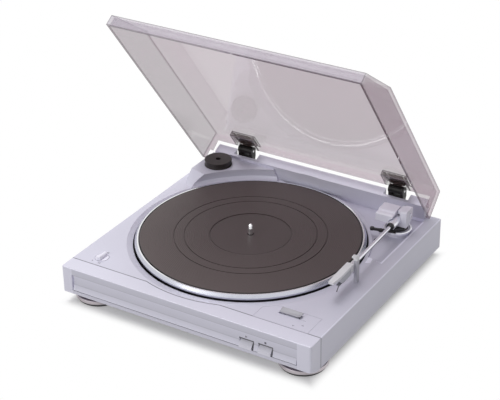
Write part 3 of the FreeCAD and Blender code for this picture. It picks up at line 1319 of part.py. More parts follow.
def arm_rest():
    """Post beside the tube with a hook over it, a shelf under it and a dark pad."""
    lean = math.tan(math.radians(S.arm_turn.value))
    lean = Term(lean, "tan(%s * 1deg)" % S.arm_turn.formula)
    tube_x = S.pivot_x + S.tube_side + (S.pivot_y + S.rest_y) * lean
    tube_z = S.tilt_z - S.tube_drop
    inner = tube_x + S.tube_radius + S.rest_gap
    outer = inner + S.rest_post
    pad = 1
    shelf = tube_z - S.tube_radius - S.pad_gap - pad
    low = -S.rest_y - S.rest_depth / 2
    high = -S.rest_y + S.rest_depth / 2
    left = tube_x - S.tube_radius - 1.5
    outline = [(outer, DECK), (outer, S.rest_top - 1.5), (outer - 1.5, S.rest_top), (inner - 3, S.rest_top),
               (inner - 3, S.rest_top - 2.4), (inner, S.rest_top - 3.2), (inner, shelf), (left, shelf),
               (left, shelf - 2.2), (inner, shelf - 4.5), (inner, DECK)]
    body = raised("ArmRest", outline, -high, -low, "XZ_Plane")
    node("arm_rest", body)
    return node("arm_rest_pad", box("ArmRestPad", (left + 0.3, low + 0.5, shelf), (inner, high - 0.5, shelf + pad)))


# Adapter

def adapter():
    """Large-hole adapter: a dark disc with a waist and a small bore."""
    low = DECK + S.tier_rise - S.adapter_sink
    radius = S.adapter_radius
    top = low + S.adapter_height
    outline = [(S.spindle_radius + 0.1, low), (radius, low), (radius, low + 2.2), (radius - 0.8, low + 2.8),
               (radius - 0.8, top - 2.2), (radius, top - 1.6), (radius, top - 0.5), (radius - 0.5, top),
               (S.spindle_radius + 0.1, top)]
    return node("adapter_45", turned("Adapter", outline, -S.adapter_x, S.adapter_y))


# Dust cover and hinges: local places count from the hinge line, with the cover closed

def on_cover(item, x=0):
    """Place a piece that is drawn from the hinge line and swings with the cover."""
    item.Placement.Rotation = FreeCAD.Rotation(FreeCAD.Vector(-1, 0, 0), 1)
    bind(item, ".Placement.Rotation.Angle", S.cover_open)
    return put(item, x, S.hinge_y, S.hinge_z)


COVER_LOW = DECK + S.cover_lift - S.hinge_z
COVER_TOP = COVER_LOW + S.cover_height


def cover_blank(name, inset):
    """Outer or inner form of the cover: drafted sides and a sloping front."""
    low = COVER_LOW - (OVER if inset.value else 0)
    drop = (S.cover_half_width - S.cover_top_half_width) / S.cover_height
    wide = S.cover_half_width - inset + drop * (OVER if inset.value else 0)
    narrow = S.cover_top_half_width - inset
    front = -S.cover_length + inset
    rear = -inset
    top = COVER_TOP - inset
    sides = lofted(name + "Sides", [
        (low, [(-wide, front), (wide, front), (wide, rear), (-wide, rear)]),
        (top, [(-narrow, front), (narrow, front), (narrow, rear), (-narrow, rear)])])
    lip = COVER_LOW + S.cover_lip - inset / 2
    profile = [(front, low), (front, lip), (front + S.cover_slope - inset / 2, top), (rear, top), (rear, low)]
    slice_body = raised(name + "Profile", profile, -S.cover_half_width - OVER, S.cover_half_width + OVER,
                        "YZ_Plane")
    return overlap(name, sides, slice_body)


def dust_cover():
    """Clear cover with drafted sides, sloping front, rear cut-out and two hinge pockets."""
    shell = cut("CoverShell", cover_blank("CoverOuter", term(0)), cover_blank("CoverInner", S.cover_wall))
    half = S.cover_half_width - S.cover_tab
    wide = S.cover_half_width - S.cover_tab_foot
    gap = join("CoverRearGap",
               box("RearGapUpper", (-half, -S.cover_wall - 1, COVER_LOW - 1), (half, 1, COVER_LOW + S.cover_rear_gap)),
               box("RearGapLower", (-wide, -S.cover_wall - 1, COVER_LOW - 1), (wide, 1, COVER_LOW + S.cover_tab_step)))
    pockets = []
    rooms = []
    wall = S.pocket_wall
    reach = S.pocket_reach - wall
    for side, sign in (("Left", -1), ("Right", 1)):
        x = S.hinge_spread * sign
        room = S.hinge_width / 2 + S.leaf_gap
        outer = S.pocket_width / 2
        low = LEAF_LOW - S.leaf_gap
        high = LEAF_LOW + S.leaf_thickness + S.leaf_gap
        pockets.append(box("Pocket" + side, (x - outer, -S.pocket_reach, low - wall),
                           (x + outer, -S.cover_wall + 0.1, COVER_TOP - S.cover_wall + 0.1)))
        cells = [("A", wall - outer, -room - wall), ("B", -room, room), ("C", room + wall, outer - wall)]
        for cell, start, end in cells:
            rooms.append(box("PocketRoom" + side + cell, (x + start, -reach, low), (x + end, OVER, high)))
        rooms.append(box("KnuckleRoom" + side, (x - room, -S.ear_radius - 1, COVER_LOW),
                         (x + room, OVER, LEAF_LOW)))
    solid = join("CoverSolid", cut("CoverOpen", shell, gap), *pockets)
    return node("dust_cover", on_cover(cut("DustCover", solid, *rooms), S.spindle_left))


LEAF_LOW = S.ear_radius - 1.4


def hinge_bases():
    """Hinge bases in the rib's notches: a foot with two ears."""
    for side, x in hinge_places():
        half = S.hinge_width / 2
        floor = DECK + S.notch_floor
        front = S.notch_front + 0.3
        rear = S.hinge_y + S.ear_radius
        slim = half - 2.4
        shoulder = S.hinge_z - S.ear_radius - 3
        foot = raised("HingeFoot" + side, [(x - slim, floor), (x + slim, floor), (x + half, shoulder),
                                           (x + half, shoulder + 2), (x - half, shoulder + 2), (x - half, shoulder)],
                      -rear, -front, "XZ_Plane")
        ears = []
        for end, start in (("A", x - half), ("B", x + half - S.ear_width)):
            ears.append(rod("Ear" + side + end, S.ear_radius, (start, S.hinge_y, S.hinge_z), S.ear_width, "X"))
            ears.append(box("EarFoot" + side + end, (start, S.hinge_y - S.ear_radius + 1.5, shoulder),
                            (start + S.ear_width, rear, S.hinge_z)))
        bore = rod("EarBore" + side, S.hinge_pin_radius + 0.08, (x - half - 1, S.hinge_y, S.hinge_z),
                   S.hinge_width + 2, "X")
        base = cut("HingeBase" + side, join("HingeBody" + side, foot, *ears), bore)
        node("hinge_base_" + side.lower(), base)


def hinge_leaves():
    """Hinge leaves that slide into the cover's pockets, and their pins."""
    for side, sign in (("Left", -1), ("Right", 1)):
        centre = S.spindle_left + S.hinge_spread * sign
        half = S.hinge_width / 2 - S.ear_width - S.leaf_gap
        knuckle = rod("Knuckle" + side, S.ear_radius - 0.4, (-half, 0, 0), half * 2, "X")
        wide = S.hinge_width / 2
        tongue = box("Tongue" + side, (-wide, -S.leaf_reach, LEAF_LOW),
                     (wide, -S.ear_radius - 0.6, LEAF_LOW + S.leaf_thickness))
        bridge = box("Bridge" + side, (-half, -S.ear_radius - 1, LEAF_LOW - 0.6),
                     (half, 0, LEAF_LOW + S.leaf_thickness - 2.6))
        bore = rod("KnuckleBore" + side, S.hinge_pin_radius, (-half - 1, 0, 0), half * 2 + 2, "X")
        leaf = cut("HingeLeaf" + side, join("LeafBody" + side, knuckle, tongue, bridge), bore)
        node("hinge_leaf_" + side.lower(), on_cover(leaf, centre))
        long = S.hinge_width / 2 + 0.3
        pin = overlap("HingePin" + side, rod("PinBar" + side, S.hinge_pin_radius - 0.01, (-long, 0, 0), long * 2, "X"),
                      box("PinEnds" + side, (-long, -OVER, -OVER), (long, OVER, OVER)))
        node("hinge_pin_" + side.lower(), on_cover(pin, centre))


# Assembly

def check_document():
    """Stop if any object of the document failed or any sub-part is no valid solid."""
    for item in doc.Objects:
        if "Invalid" in item.State or "Error" in item.State:
            raise RuntimeError("%s failed: %s" % (item.Name, item.State))
    for item in NODES:
        shape = item.Shape
        if shape.isNull() or not shape.isValid() or not shape.Solids:
            raise RuntimeError("%s is no valid solid" % item.Label)


def main():
    """Build every sub-part and write one file for each."""
    for make in (top_case, fascia, cue_panel, cue_bracket, cue_lever, speed_knob, speed_switch):
        make()
    key("StartKey", "start_key", S.start_key_x)
    key("StopKey", "stop_key", S.stop_key_x)
    for make in (key_electrics, bottom_cover, bottom_screws, feet, platter, platter_mat, spindle, main_bearing,
                 drive_belt, motor, cam_gear, transformer, glands, arm_base, lift_bar, arm_yoke, pivot_pin,
                 arm_housing, arm_tube, counterweight, headshell, arm_rest, adapter, dust_cover, hinge_bases,
                 hinge_leaves):
        make()
    doc.recompute()
    check_document()
    os.makedirs("parts", exist_ok=True)
    for item in NODES:
        item.Shape.exportStep(os.path.join("parts", item.Label + ".step"))
        print("%-18s %2d solids %12.1f mm3" % (item.Label, len(item.Shape.Solids), item.Shape.Volume))
    print(len(NODES), "sub-parts")


main()
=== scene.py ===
"""Looks of a turntable with its dust cover open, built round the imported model."""

import math

import bmesh
import bpy
from bpy.props import FloatProperty, FloatVectorProperty, PointerProperty
from mathutils import Matrix, Vector


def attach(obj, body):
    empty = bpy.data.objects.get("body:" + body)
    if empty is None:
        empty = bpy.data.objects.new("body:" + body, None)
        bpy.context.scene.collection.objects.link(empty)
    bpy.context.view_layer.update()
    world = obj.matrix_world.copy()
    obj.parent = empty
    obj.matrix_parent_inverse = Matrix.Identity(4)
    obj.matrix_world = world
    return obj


bl_info = {
    "name": "Turntable",
    "version": (1, 0, 0),
    "blender": (4, 5, 0),
    "location": "3D View > Sidebar > Turntable",
    "description": "Finishes, marks and stage of a turntable built round its packed model",
    "category": "Add Mesh",
}

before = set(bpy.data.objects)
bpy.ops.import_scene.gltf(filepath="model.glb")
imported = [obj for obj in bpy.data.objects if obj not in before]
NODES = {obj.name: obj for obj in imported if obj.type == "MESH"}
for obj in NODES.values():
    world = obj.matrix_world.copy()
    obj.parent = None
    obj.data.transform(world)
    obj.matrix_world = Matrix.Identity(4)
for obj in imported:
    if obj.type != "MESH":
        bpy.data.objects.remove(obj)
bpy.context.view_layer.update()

# Colours that have no setting of their own
HEADSHELL_PALE = (0.84, 0.83, 0.87)
CARTRIDGE_GREY = (0.55, 0.55, 0.6)
STYLUS_GREY = (0.2, 0.2, 0.22)
REST_CAP = (0.8, 0.8, 0.83)
TUBE_BRIGHT = (0.8, 0.8, 0.86)
TUBE_PAINTED_DARK = (0.07, 0.07, 0.09)
RING_BRIGHT = (0.86, 0.86, 0.9)
BEVEL_REFLECTION_GREY = (0.56, 0.57, 0.64)
SEAT_SHADE = (0.06, 0.055, 0.06)
STEEL = (0.56, 0.56, 0.57)
WEIGHT_STEEL = (0.55, 0.55, 0.57)
HINGE_STEEL = (0.6, 0.6, 0.62)
FOOT_METAL = (0.47, 0.43, 0.455)
BRASS = (0.62, 0.47, 0.2)
GEAR_WHITE = (0.72, 0.71, 0.67)
BOARD_GREEN = (0.03, 0.14, 0.07)
BOTTOM_BLACK = (0.03, 0.03, 0.03)
BELT_BLACK = (0.015, 0.015, 0.015)
SOLE_BLACK = (0.012, 0.012, 0.012)
ADAPTER_BLACK = (0.02, 0.014, 0.013)
COVER_LIP = (0.43, 0.36, 0.5)
COVER_POCKET = (0.1, 0.055, 0.05)

# Case: places in metres from the spindle and above the standing surface
DECK = 0.053
WELL_RADIUS = 0.1529
WELL_SHADE_TOP = 0.04715
SEAM_Y = -0.1588
SEAM_RADIUS = 0.1673
SEAM_HALF = 0.0007
SEAM_STRAIGHT_FROM = 0.16675
SEAM_CURVED_UNTIL = -0.1587
CASE_RIGHT = 0.1917
CASE_EDGE_FRONT = -0.15825
DECK_EDGE_LOW = 0.05215
PLINTH_MIDDLE = (0.013, -0.009)
PLINTH_HALF = (0.18, 0.173)
RECESS_LEFT = 0.1185
RECESS_RIGHT = 0.17535
RECESS_EDGE_WIDTH = 0.0023
RECESS_CORNER = 0.0051
RECESS_FRONT = 0.0185
RECESS_REAR = 0.14375
RECESS_PAINT_END = 0.1795
RECESS_RADIUS = 0.15775
RECESS_FLOOR = 0.0483
RECESS_TOP = 0.0527

# Fascia: the recessed strip and the keys in it, and the strip's shading as height and share of shade
FASCIA_FRONT = -0.1818
STRIP_LEFT = -0.152
STRIP_RIGHT = 0.1741
STRIP_FACE = -0.1798
STRIP_FOOT = 0.01675
STRIP_TOP = 0.0524
STRIP_END_HALF = 0.0004
STRIP_END_REAR = -0.17725
BANDS_LEFT = -0.15145
BANDS_REAR = -0.17825
KEY_MIDDLES = (0.1042, 0.1304)
KEY_FOOT = 0.0221
KEY_TOP = 0.03225
KEY_GAP_TOP = 0.03385
KEY_HALF = 0.00895
KEY_GAP_HALF = 0.00995
KEY_GAP_RIGHT = 0.01045
KEY_GAP_REAR = -0.1759
KEY_SIGN_Z = 0.0368
SHADE_HEIGHT = 0.06
STRIP_SHADES = (
    (0.0, 0.45), (0.0163, 0.45), (0.0167, 0.2), (0.0212, 0.24), (0.0214, 0.8), (0.0219, 0.8),
    (0.0223, 0.0), (0.0293, 0.26), (0.0296, 0.6), (0.0302, 0.6), (0.0306, 0.32), (0.0430, 0.12),
    (0.0434, 0.7), (0.0441, 0.7), (0.0445, 0.4), (0.0522, 0.28), (0.0528, 0.0),
)

# Platter and mat
BEVEL_RADIUS = 0.147
SEAT_RADIUS = 0.1451
SKIRT_TOP = 0.05085
MAT_INNER_RIBS = 0.05425
MAT_OUTER_RIBS = 0.14275
MAT_EDGE = 0.14305
RIB_PITCH = 0.0022
TURNING_PITCH = 0.00035

# Tonearm
ARM_PIVOT = (0.1555, 0.112, 0)
ARM_BASE_RING = 0.01345
TUBE_CENTRE = (0.1595, 0, 0.0735)
TUBE_RADIUS = 0.0025
REST_CAP_Z = 0.0839

# Dust cover, in its own frame: origin on the hinge line, the closed cover level
HINGE_LINE = (0.013, 0.1593, 0.082)
OPEN_ANGLE = math.radians(53.5)
COVER_SIDE = 0.17463
COVER_SIDE_LEAN = -0.0488
COVER_FRONT = -0.3373
COVER_TOP = 0.013
COVER_LOW = -0.02705
COVER_RIDGE_Y = -0.2623
SLOPE_NORMAL = (0.339, 0.941)
COVER_WALL = 0.00285
COVER_LINE = 0.0008
RIDGE_HALF = 0.0014
LIP_REAR = -0.3335
POCKET_X = 0.1169
POCKET_HALF = 0.01825
POCKET_FRONT = -0.028
POCKET_LOW = 0.0026
POCKET_TOP = 0.01
POCKET_SIDE = 0.01875
POCKET_LIP = -0.02855
POCKET_LINE = 0.0015
POCKET_LINE_TOP = 0.00845

# Stage: each lamp with its name, place, side in metres and power in watts
LAMPS = (("Key", (-0.8, 0.5, 3.2), 1.9, 74.0), ("Front fill", (-0.7, -2.0, 0.8), 1.4, 14.0))
LAMP_TARGET = (0, 0, 0.05)
WORLD_LIGHT = 0.3
FLOOR_RADIUS = 12.0
FLOOR_DROP = 0.0002
FLOOR_LIGHT = (0.6, 0.6, 0.6)
FLOOR_SEEN = (0.93, 0.93, 0.93)
FLOOR_GLOW_UNDER = 0.2
SHADOW_EDGE = (-0.001, 0.022)
CAMERA_PLACE = (0.8905, -1.4209, 1.0282)
CAMERA_RIGHT = (0.8516, 0.5240, -0.0151)
CAMERA_AHEAD = (-0.4654, 0.7425, -0.4818)
CAMERA_LENS = 108.0
CAMERA_SENSOR = 36.0


# Shader building

class Field:
    """A socket that takes part in sums: an expression on fields adds its Math nodes."""

    def __init__(self, graph, socket):
        self.graph = graph
        self.socket = socket

    def work(self, operation, *values, clamp=False):
        """Add one Math node that works on this field."""
        settings = {"operation": operation, "use_clamp": clamp}
        return self.graph.node("ShaderNodeMath", settings, dict(enumerate((self, *values))))

    def __add__(self, other):
        return self.work("ADD", other)

    def __sub__(self, other):
        return self.work("SUBTRACT", other)

    def __rsub__(self, other):
        return self.graph.node("ShaderNodeMath", {"operation": "SUBTRACT"}, {0: other, 1: self})

    def __mul__(self, other):
        return self.work("MULTIPLY", other)

    def __truediv__(self, other):
        return self.work("DIVIDE", other)

    def __neg__(self):
        return self.work("MULTIPLY", -1.0)

    def __abs__(self):
        return self.work("ABSOLUTE")

    def sine(self):
        return self.work("SINE")

    def lowest(self, other):
        return self.work("MINIMUM", other)

    def highest(self, other):
        return self.work("MAXIMUM", other)

    def clamp(self):
        return self.work("ADD", 0.0, clamp=True)

    def step(self, start, end):
        """Rise smoothly from 0 at start to 1 at end."""
        settings = {"interpolation_type": "SMOOTHSTEP"}
        return self.graph.node("ShaderNodeMapRange", settings,
                                {"Value": self, "From Min": start, "From Max": end})

    def past(self, edge, soft=0.0004):
        """1 beyond an edge and 0 short of it, with a soft change between them."""
        return self.step(edge - soft / 2, edge + soft / 2)

    def before(self, edge, soft=0.0004):
        """1 short of an edge and 0 beyond it, with a soft change between them."""
        return 1 - self.past(edge, soft)


class Graph:
    """A node tree that is built node by node."""

    def __init__(self, tree):
        self.tree = tree

    def join(self, socket, value):
        """Link a field to a socket, or set the socket to a plain value."""
        if isinstance(value, Field):
            self.tree.links.new(value.socket, socket)
        else:
            socket.default_value = value

    def node(self, kind, settings=None, inputs=None, output=0):
        """Add a node, set it up, fill its sockets and return one output as a field."""
        made = self.tree.nodes.new(kind)
        for key, value in (settings or {}).items():
            if key == "stops":
                self.fill_ramp(made.color_ramp, value)
            else:
                setattr(made, key, value)
        for key, value in (inputs or {}).items():
            self.join(made.inputs[key], value)
        return Field(self, made.outputs[output])

    def fill_ramp(self, ramp, stops):
        """Give a colour ramp its stops."""
        while len(ramp.elements) > 1:
            ramp.elements.remove(ramp.elements[-1])
        for index, (place, colour) in enumerate(stops):
            element = ramp.elements[0] if index == 0 else ramp.elements.new(place)
            element.position = place
            element.color = (*colour, 1.0)

    def place(self):
        """Object coordinates, in metres."""
        return self.node("ShaderNodeTexCoord", output="Object")

    def shifted(self, centre, turn=(0, 0, 0)):
        """Object coordinates counted from a centre and turned."""
        return self.node("ShaderNodeMapping", {"vector_type": "TEXTURE"},
                         {"Vector": self.place(), "Location": centre, "Rotation": turn})

    def axes(self, vector=None):
        """The three coordinates of a vector as fields."""
        made = self.tree.nodes.new("ShaderNodeSeparateXYZ")
        self.join(made.inputs[0], vector or self.place())
        return [Field(self, output) for output in made.outputs]

    def round_axes(self, vector=None):
        """The three coordinates and the distance from the upright axis."""
        x, y, z = self.axes(vector)
        return x, y, z, (x * x + y * y).work("POWER", 0.5)

    def noise(self, scale, detail=2.0, roughness=0.5):
        """Noise between 0 and 1."""
        return self.node("ShaderNodeTexNoise", {"noise_dimensions": "3D"},
                         {"Vector": self.place(), "Scale": scale, "Detail": detail, "Roughness": roughness})

    def mix(self, factor, first, second):
        """Mix two colours."""
        made = self.tree.nodes.new("ShaderNodeMix")
        made.data_type = "RGBA"
        self.join(made.inputs["Factor"], factor)
        for socket, value in ((made.inputs[6], first), (made.inputs[7], second)):
            self.join(socket, value if isinstance(value, Field) else (*value, 1.0))
        return Field(self, made.outputs[2])

    def seen_directly(self):
        """1 for rays that show the background, 0 for those that only light the object."""
        path = self.tree.nodes.new("ShaderNodeLightPath")
        camera, glossy, clear = (Field(self, path.outputs[name]) for name in
                                 ("Is Camera Ray", "Is Glossy Ray", "Is Transmission Ray"))
        return camera.highest(glossy).highest(clear)


class Finish(Graph):
    """A material with one Principled shader."""

    def __init__(self, name, colour, roughness, metallic=0.0, **sockets):
        self.material = bpy.data.materials.new(name)
        self.material.use_nodes = True
        super().__init__(self.material.node_tree)
        self.shader = self.tree.nodes["Principled BSDF"]
        self.set("Base Color", (*colour, 1.0))
        self.set("Roughness", roughness)
        self.set("Metallic", metallic)
        for key, value in sockets.items():
            self.set(key.replace("_", " "), value)

    def set(self, socket, value):
        """Set or link one socket of the shader."""
        self.join(self.shader.inputs[socket], value)

    def bump(self, height, strength, distance):
        """Raise the surface by a field."""
        self.set("Normal", self.node("ShaderNodeBump", None,
                                     {"Strength": strength, "Distance": distance, "Height": height}))


# Finishes

def shade(colour, share):
    """A colour made darker or paler by a share."""
    return tuple(part * share for part in colour)


def wear_colour(finish, colour, spread, scale):
    """A colour that drifts a little over a surface."""
    drift = finish.noise(scale, 3.0)
    return finish.mix(drift.step(0.3, 0.7), shade(colour, 1 - spread), shade(colour, 1 + spread))


def silver_paint(name, colour, roughness=0.42, places=()):
    """Silver paint on moulded plastic: fine flake, a faint orange peel, and painted shade and highlights in
    the given places.
    """
    finish = Finish(name, colour, roughness, 0.15, Coat_Weight=0.06, Coat_Roughness=0.25)
    flake = finish.noise(5200.0, 1.0)
    base = wear_colour(finish, colour, 0.02, 6.0)
    base = finish.mix(flake.step(0.55, 0.75) * 0.5, base, shade(colour, 1.12))
    # Each place darkens or pales the paint as painted shade or painted highlight.
    for place, share in places:
        base = finish.mix(place(finish), base, shade(colour, share))
    finish.set("Base Color", base)
    finish.set("Roughness", finish.noise(35.0) * 0.06 + (roughness - 0.03))
    finish.bump(finish.noise(900.0), 0.035, 0.0004)
    return finish.material


def well_shade(finish):
    """Painted shade on the well's wall, under the platter."""
    x, y, z, radius = finish.round_axes()
    return radius.before(WELL_RADIUS, 0.0006) * z.before(WELL_SHADE_TOP, 0.0013)


def recess_slope_highlight(finish):
    """Painted highlight on the sloping edges of the recess round the tonearm."""
    x, y, z, radius = finish.round_axes()
    slope = z.past(RECESS_FLOOR) * z.before(RECESS_TOP) * y.past(RECESS_FRONT, 0.001)
    across = x.past(RECESS_LEFT, 0.001) * x.before(RECESS_PAINT_END, 0.001)
    return slope * radius.past(RECESS_RADIUS, 0.0005) * across


def edge_highlights(finish):
    """Painted highlights on the rounded edges along the recess's right side and the case's."""
    x, y, z = finish.axes()
    across = x.past(RECESS_RIGHT, 0.0003) * x.before(RECESS_RIGHT + RECESS_EDGE_WIDTH, 0.0005)
    along = y.past(RECESS_FRONT + RECESS_CORNER, 0.0008) * y.before(RECESS_REAR, 0.0005)
    recess = across * along
    case = x.past(CASE_RIGHT) * y.past(CASE_EDGE_FRONT, 0.0005) * 0.8
    return recess.highest(case) * z.past(DECK_EDGE_LOW, 0.0005)


def strip_end_light(finish):
    """Painted light on the upright wall at the strip's left end."""
    x, y, z = finish.axes()
    height = z.past(STRIP_FOOT, 0.0005) * z.before(STRIP_TOP)
    depth = y.past(FASCIA_FRONT, 0.0002) * y.before(STRIP_END_REAR, 0.0005)
    return abs(x - STRIP_LEFT).before(STRIP_END_HALF, 0.0002) * height * depth


def seam_shade(finish):
    """The joint between the fascia and the top case, with painted shade in it."""
    x, y, z, radius = finish.round_axes()
    straight = abs(y - SEAM_Y).before(SEAM_HALF) * radius.past(SEAM_STRAIGHT_FROM, 0.0003)
    curved = abs(radius - SEAM_RADIUS).before(SEAM_HALF) * y.before(SEAM_CURVED_UNTIL, 0.0002)
    return straight.highest(curved) * 0.75


def strip_band_shade(finish):
    """Painted shade on the fascia, in bands by height."""
    x, y, z = finish.axes()
    stops = [(height / SHADE_HEIGHT, (tone,) * 3) for height, tone in STRIP_SHADES]
    bands = finish.node("ShaderNodeValToRGB", {"stops": stops}, {0: z / SHADE_HEIGHT})
    inside = x.past(BANDS_LEFT, 0.0005) * x.before(STRIP_RIGHT, 0.0006) * y.before(BANDS_REAR, 0.0005)
    return bands * inside


def key_gap_shade(finish):
    """Painted shade in the gaps over and beside the keys."""
    x, y, z = finish.axes()
    height = z.past(KEY_FOOT) * z.before(KEY_GAP_TOP, 0.0003) * y.before(KEY_GAP_REAR, 0.0002)
    gaps = []
    for middle in KEY_MIDDLES:
        beside = x - middle
        over = z.past(KEY_TOP, 0.0003) * abs(beside).before(KEY_GAP_HALF, 0.0003)
        right = beside.past(KEY_HALF, 0.0003) * beside.before(KEY_GAP_RIGHT, 0.0003)
        gaps.append(over.highest(right) * height)
    return gaps[0].highest(gaps[1])


def moulded_plastic(name, colour, roughness, grain=0.08, specular=0.5):
    """Moulded plastic with a fine grain."""
    finish = Finish(name, colour, roughness, Specular_IOR_Level=specular)
    finish.set("Base Color", wear_colour(finish, colour, 0.05, 25.0))
    finish.set("Roughness", finish.noise(60.0, 3.0) * 0.12 + (roughness - 0.06))
    finish.bump(finish.noise(1500.0), grain, 0.0003)
    return finish.material


def polished_metal(name, colour, roughness):
    """Plated or polished metal with faint wiping marks."""
    finish = Finish(name, colour, roughness, 1.0)
    finish.set("Roughness", finish.noise(140.0, 4.0, 0.6) * 0.1 + (roughness - 0.04))
    finish.bump(finish.noise(700.0, 3.0), 0.02, 0.0002)
    return finish.material


def turned_metal(name, colour, roughness):
    """Metal turned on a lathe: rings round the spindle's axis."""
    finish = Finish(name, colour, roughness, 1.0)
    x, y, z, radius = finish.round_axes()
    rings = (radius / TURNING_PITCH).sine()
    finish.set("Roughness", rings * 0.04 + finish.noise(300.0, 3.0) * 0.08 + roughness)
    finish.bump(rings, 0.05, 0.0001)
    return finish.material


def tube_chrome():
    """Chrome tube with painted reflections: bright on top, painted dark at its left side and underneath."""
    finish = Finish("Arm tube", TUBE_BRIGHT, 0.14, 1.0)
    x, y, z = finish.axes(finish.shifted(TUBE_CENTRE))
    soft = TUBE_RADIUS * 0.24
    below = z.before(TUBE_RADIUS * 0.24, soft)
    left = x.before(TUBE_RADIUS * -0.2, soft)
    # Painted dark reflection along the tube's left side and underneath.
    finish.set("Base Color", finish.mix(below.highest(left), TUBE_BRIGHT, TUBE_PAINTED_DARK))
    finish.set("Roughness", finish.noise(140.0, 4.0, 0.6) * 0.1 + 0.1)
    return finish.material


def platter_metal(colours):
    """Polished level edge, a brushed bevel whose greyer colour is a painted reflection, and painted shade on
    the seat under the mat and below the skirt.
    """
    finish = Finish("Platter rim", colours.metal, 0.16, 1.0)
    x, y, z, radius = finish.round_axes()
    bevel = radius.past(BEVEL_RADIUS)
    # Painted shade under the mat and below the skirt; the bevel is rougher, and its darker colour is a
    # painted reflection.
    shaded_seat = radius.before(SEAT_RADIUS).highest(z.before(SKIRT_TOP, 0.0005))
    edge = finish.mix(bevel, colours.metal, BEVEL_REFLECTION_GREY)
    finish.set("Base Color", finish.mix(shaded_seat, edge, SEAT_SHADE))
    rings = (radius / TURNING_PITCH).sine()
    finish.set("Roughness", bevel * 0.1 + rings * 0.03 + finish.noise(300.0, 3.0) * 0.06 + 0.14)
    finish.bump(rings, 0.04, 0.0001)
    return finish.material


def base_black(colours):
    """Arm base: silver outside, black inside its bright ring."""
    finish = Finish("Arm base", colours.black, 0.42)
    x, y, z, radius = finish.round_axes(finish.shifted(ARM_PIVOT))
    finish.set("Base Color", finish.mix(radius.past(ARM_BASE_RING, 0.0003), colours.black, colours.trim))
    finish.set("Roughness", finish.noise(60.0, 3.0) * 0.1 + 0.36)
    return finish.material


def rest_plastic(colours):
    """Arm rest: grey post with a pale cap."""
    finish = Finish("Arm rest", colours.trim, 0.38)
    x, y, z = finish.axes()
    finish.set("Base Color", finish.mix(z.past(REST_CAP_Z, 0.0006), shade(colours.trim, 0.72), REST_CAP))
    finish.set("Roughness", finish.noise(80.0, 3.0) * 0.1 + 0.34)
    return finish.material


def rubber(name, colour):
    """Black rubber with a dusty grain."""
    finish = Finish(name, colour, 0.62)
    dust = finish.noise(420.0, 4.0, 0.7)
    dusty = tuple(part * 1.6 + 0.01 for part in colour)
    finish.set("Base Color", finish.mix(dust.step(0.45, 0.8) * 0.5, colour, dusty))
    finish.bump(finish.noise(2600.0), 0.1, 0.0003)
    return finish.material


def mat_rubber(colour):
    """Ribbed rubber mat: fine rings between wider bands, darker in the grooves, and painted shade at its
    outer edge.
    """
    finish = Finish("Mat rubber", colour, 0.5, Specular_IOR_Level=0.4)
    x, y, z, radius = finish.round_axes()
    ribs = (radius * (2 * math.pi / RIB_PITCH)).sine() * 0.5 + 0.5
    ribbed = ribs * (radius.past(MAT_INNER_RIBS, 0.0005) * radius.before(MAT_OUTER_RIBS, 0.0005))
    grain = finish.noise(900.0, 3.0)
    drift = finish.noise(14.0)
    tone = (ribbed * 0.35 + grain * 0.3 + drift * 0.35).clamp()
    base = finish.mix(tone, shade(colour, 0.82), shade(colour, 1.2))
    # Painted shade at the mat's outer edge.
    finish.set("Base Color", finish.mix(radius.past(MAT_EDGE, 0.0007), base, shade(colour, 0.15)))
    finish.set("Roughness", ribbed * 0.1 + grain * 0.08 + 0.42)
    finish.bump(ribbed + grain * 0.15, 0.35, 0.00035)
    return finish.material


def cover_outlines(x, y, z):
    """Where the cover's walls meet on its outside: the thin dark lines and the walls seen edge-on."""
    side = (z * COVER_SIDE_LEAN + COVER_SIDE) - abs(x)
    front = y - COVER_FRONT
    slope = (y - COVER_RIDGE_Y) * SLOPE_NORMAL[0] - (z - COVER_TOP) * SLOPE_NORMAL[1]
    skin = (COVER_TOP - z).lowest(slope).lowest(front).lowest(-y)
    corners = side.highest(skin).lowest(front.highest(slope))
    outline = corners.before(COVER_LINE).highest(z.before(COVER_LOW, 0.0005))
    return outline, corners.before(COVER_WALL, 0.0003)


def pocket_lines(x, y, z):
    """The two hinge pockets under the cover, and the dark lines along their edges."""
    across = abs(abs(x) - POCKET_X)
    pocket = across.before(POCKET_SIDE, 0.0003) * y.past(POCKET_LIP, 0.0003)
    pocket = pocket * z.before(POCKET_TOP, 0.0002)
    beside = POCKET_HALF - across
    ahead = y - POCKET_FRONT
    above = z - POCKET_LOW
    edges = beside.highest(ahead).lowest(beside.highest(above)).lowest(ahead.highest(above))
    lines = edges.before(POCKET_LINE, 0.0006).highest(z.past(POCKET_LINE_TOP, 0.0005))
    return pocket, lines * pocket


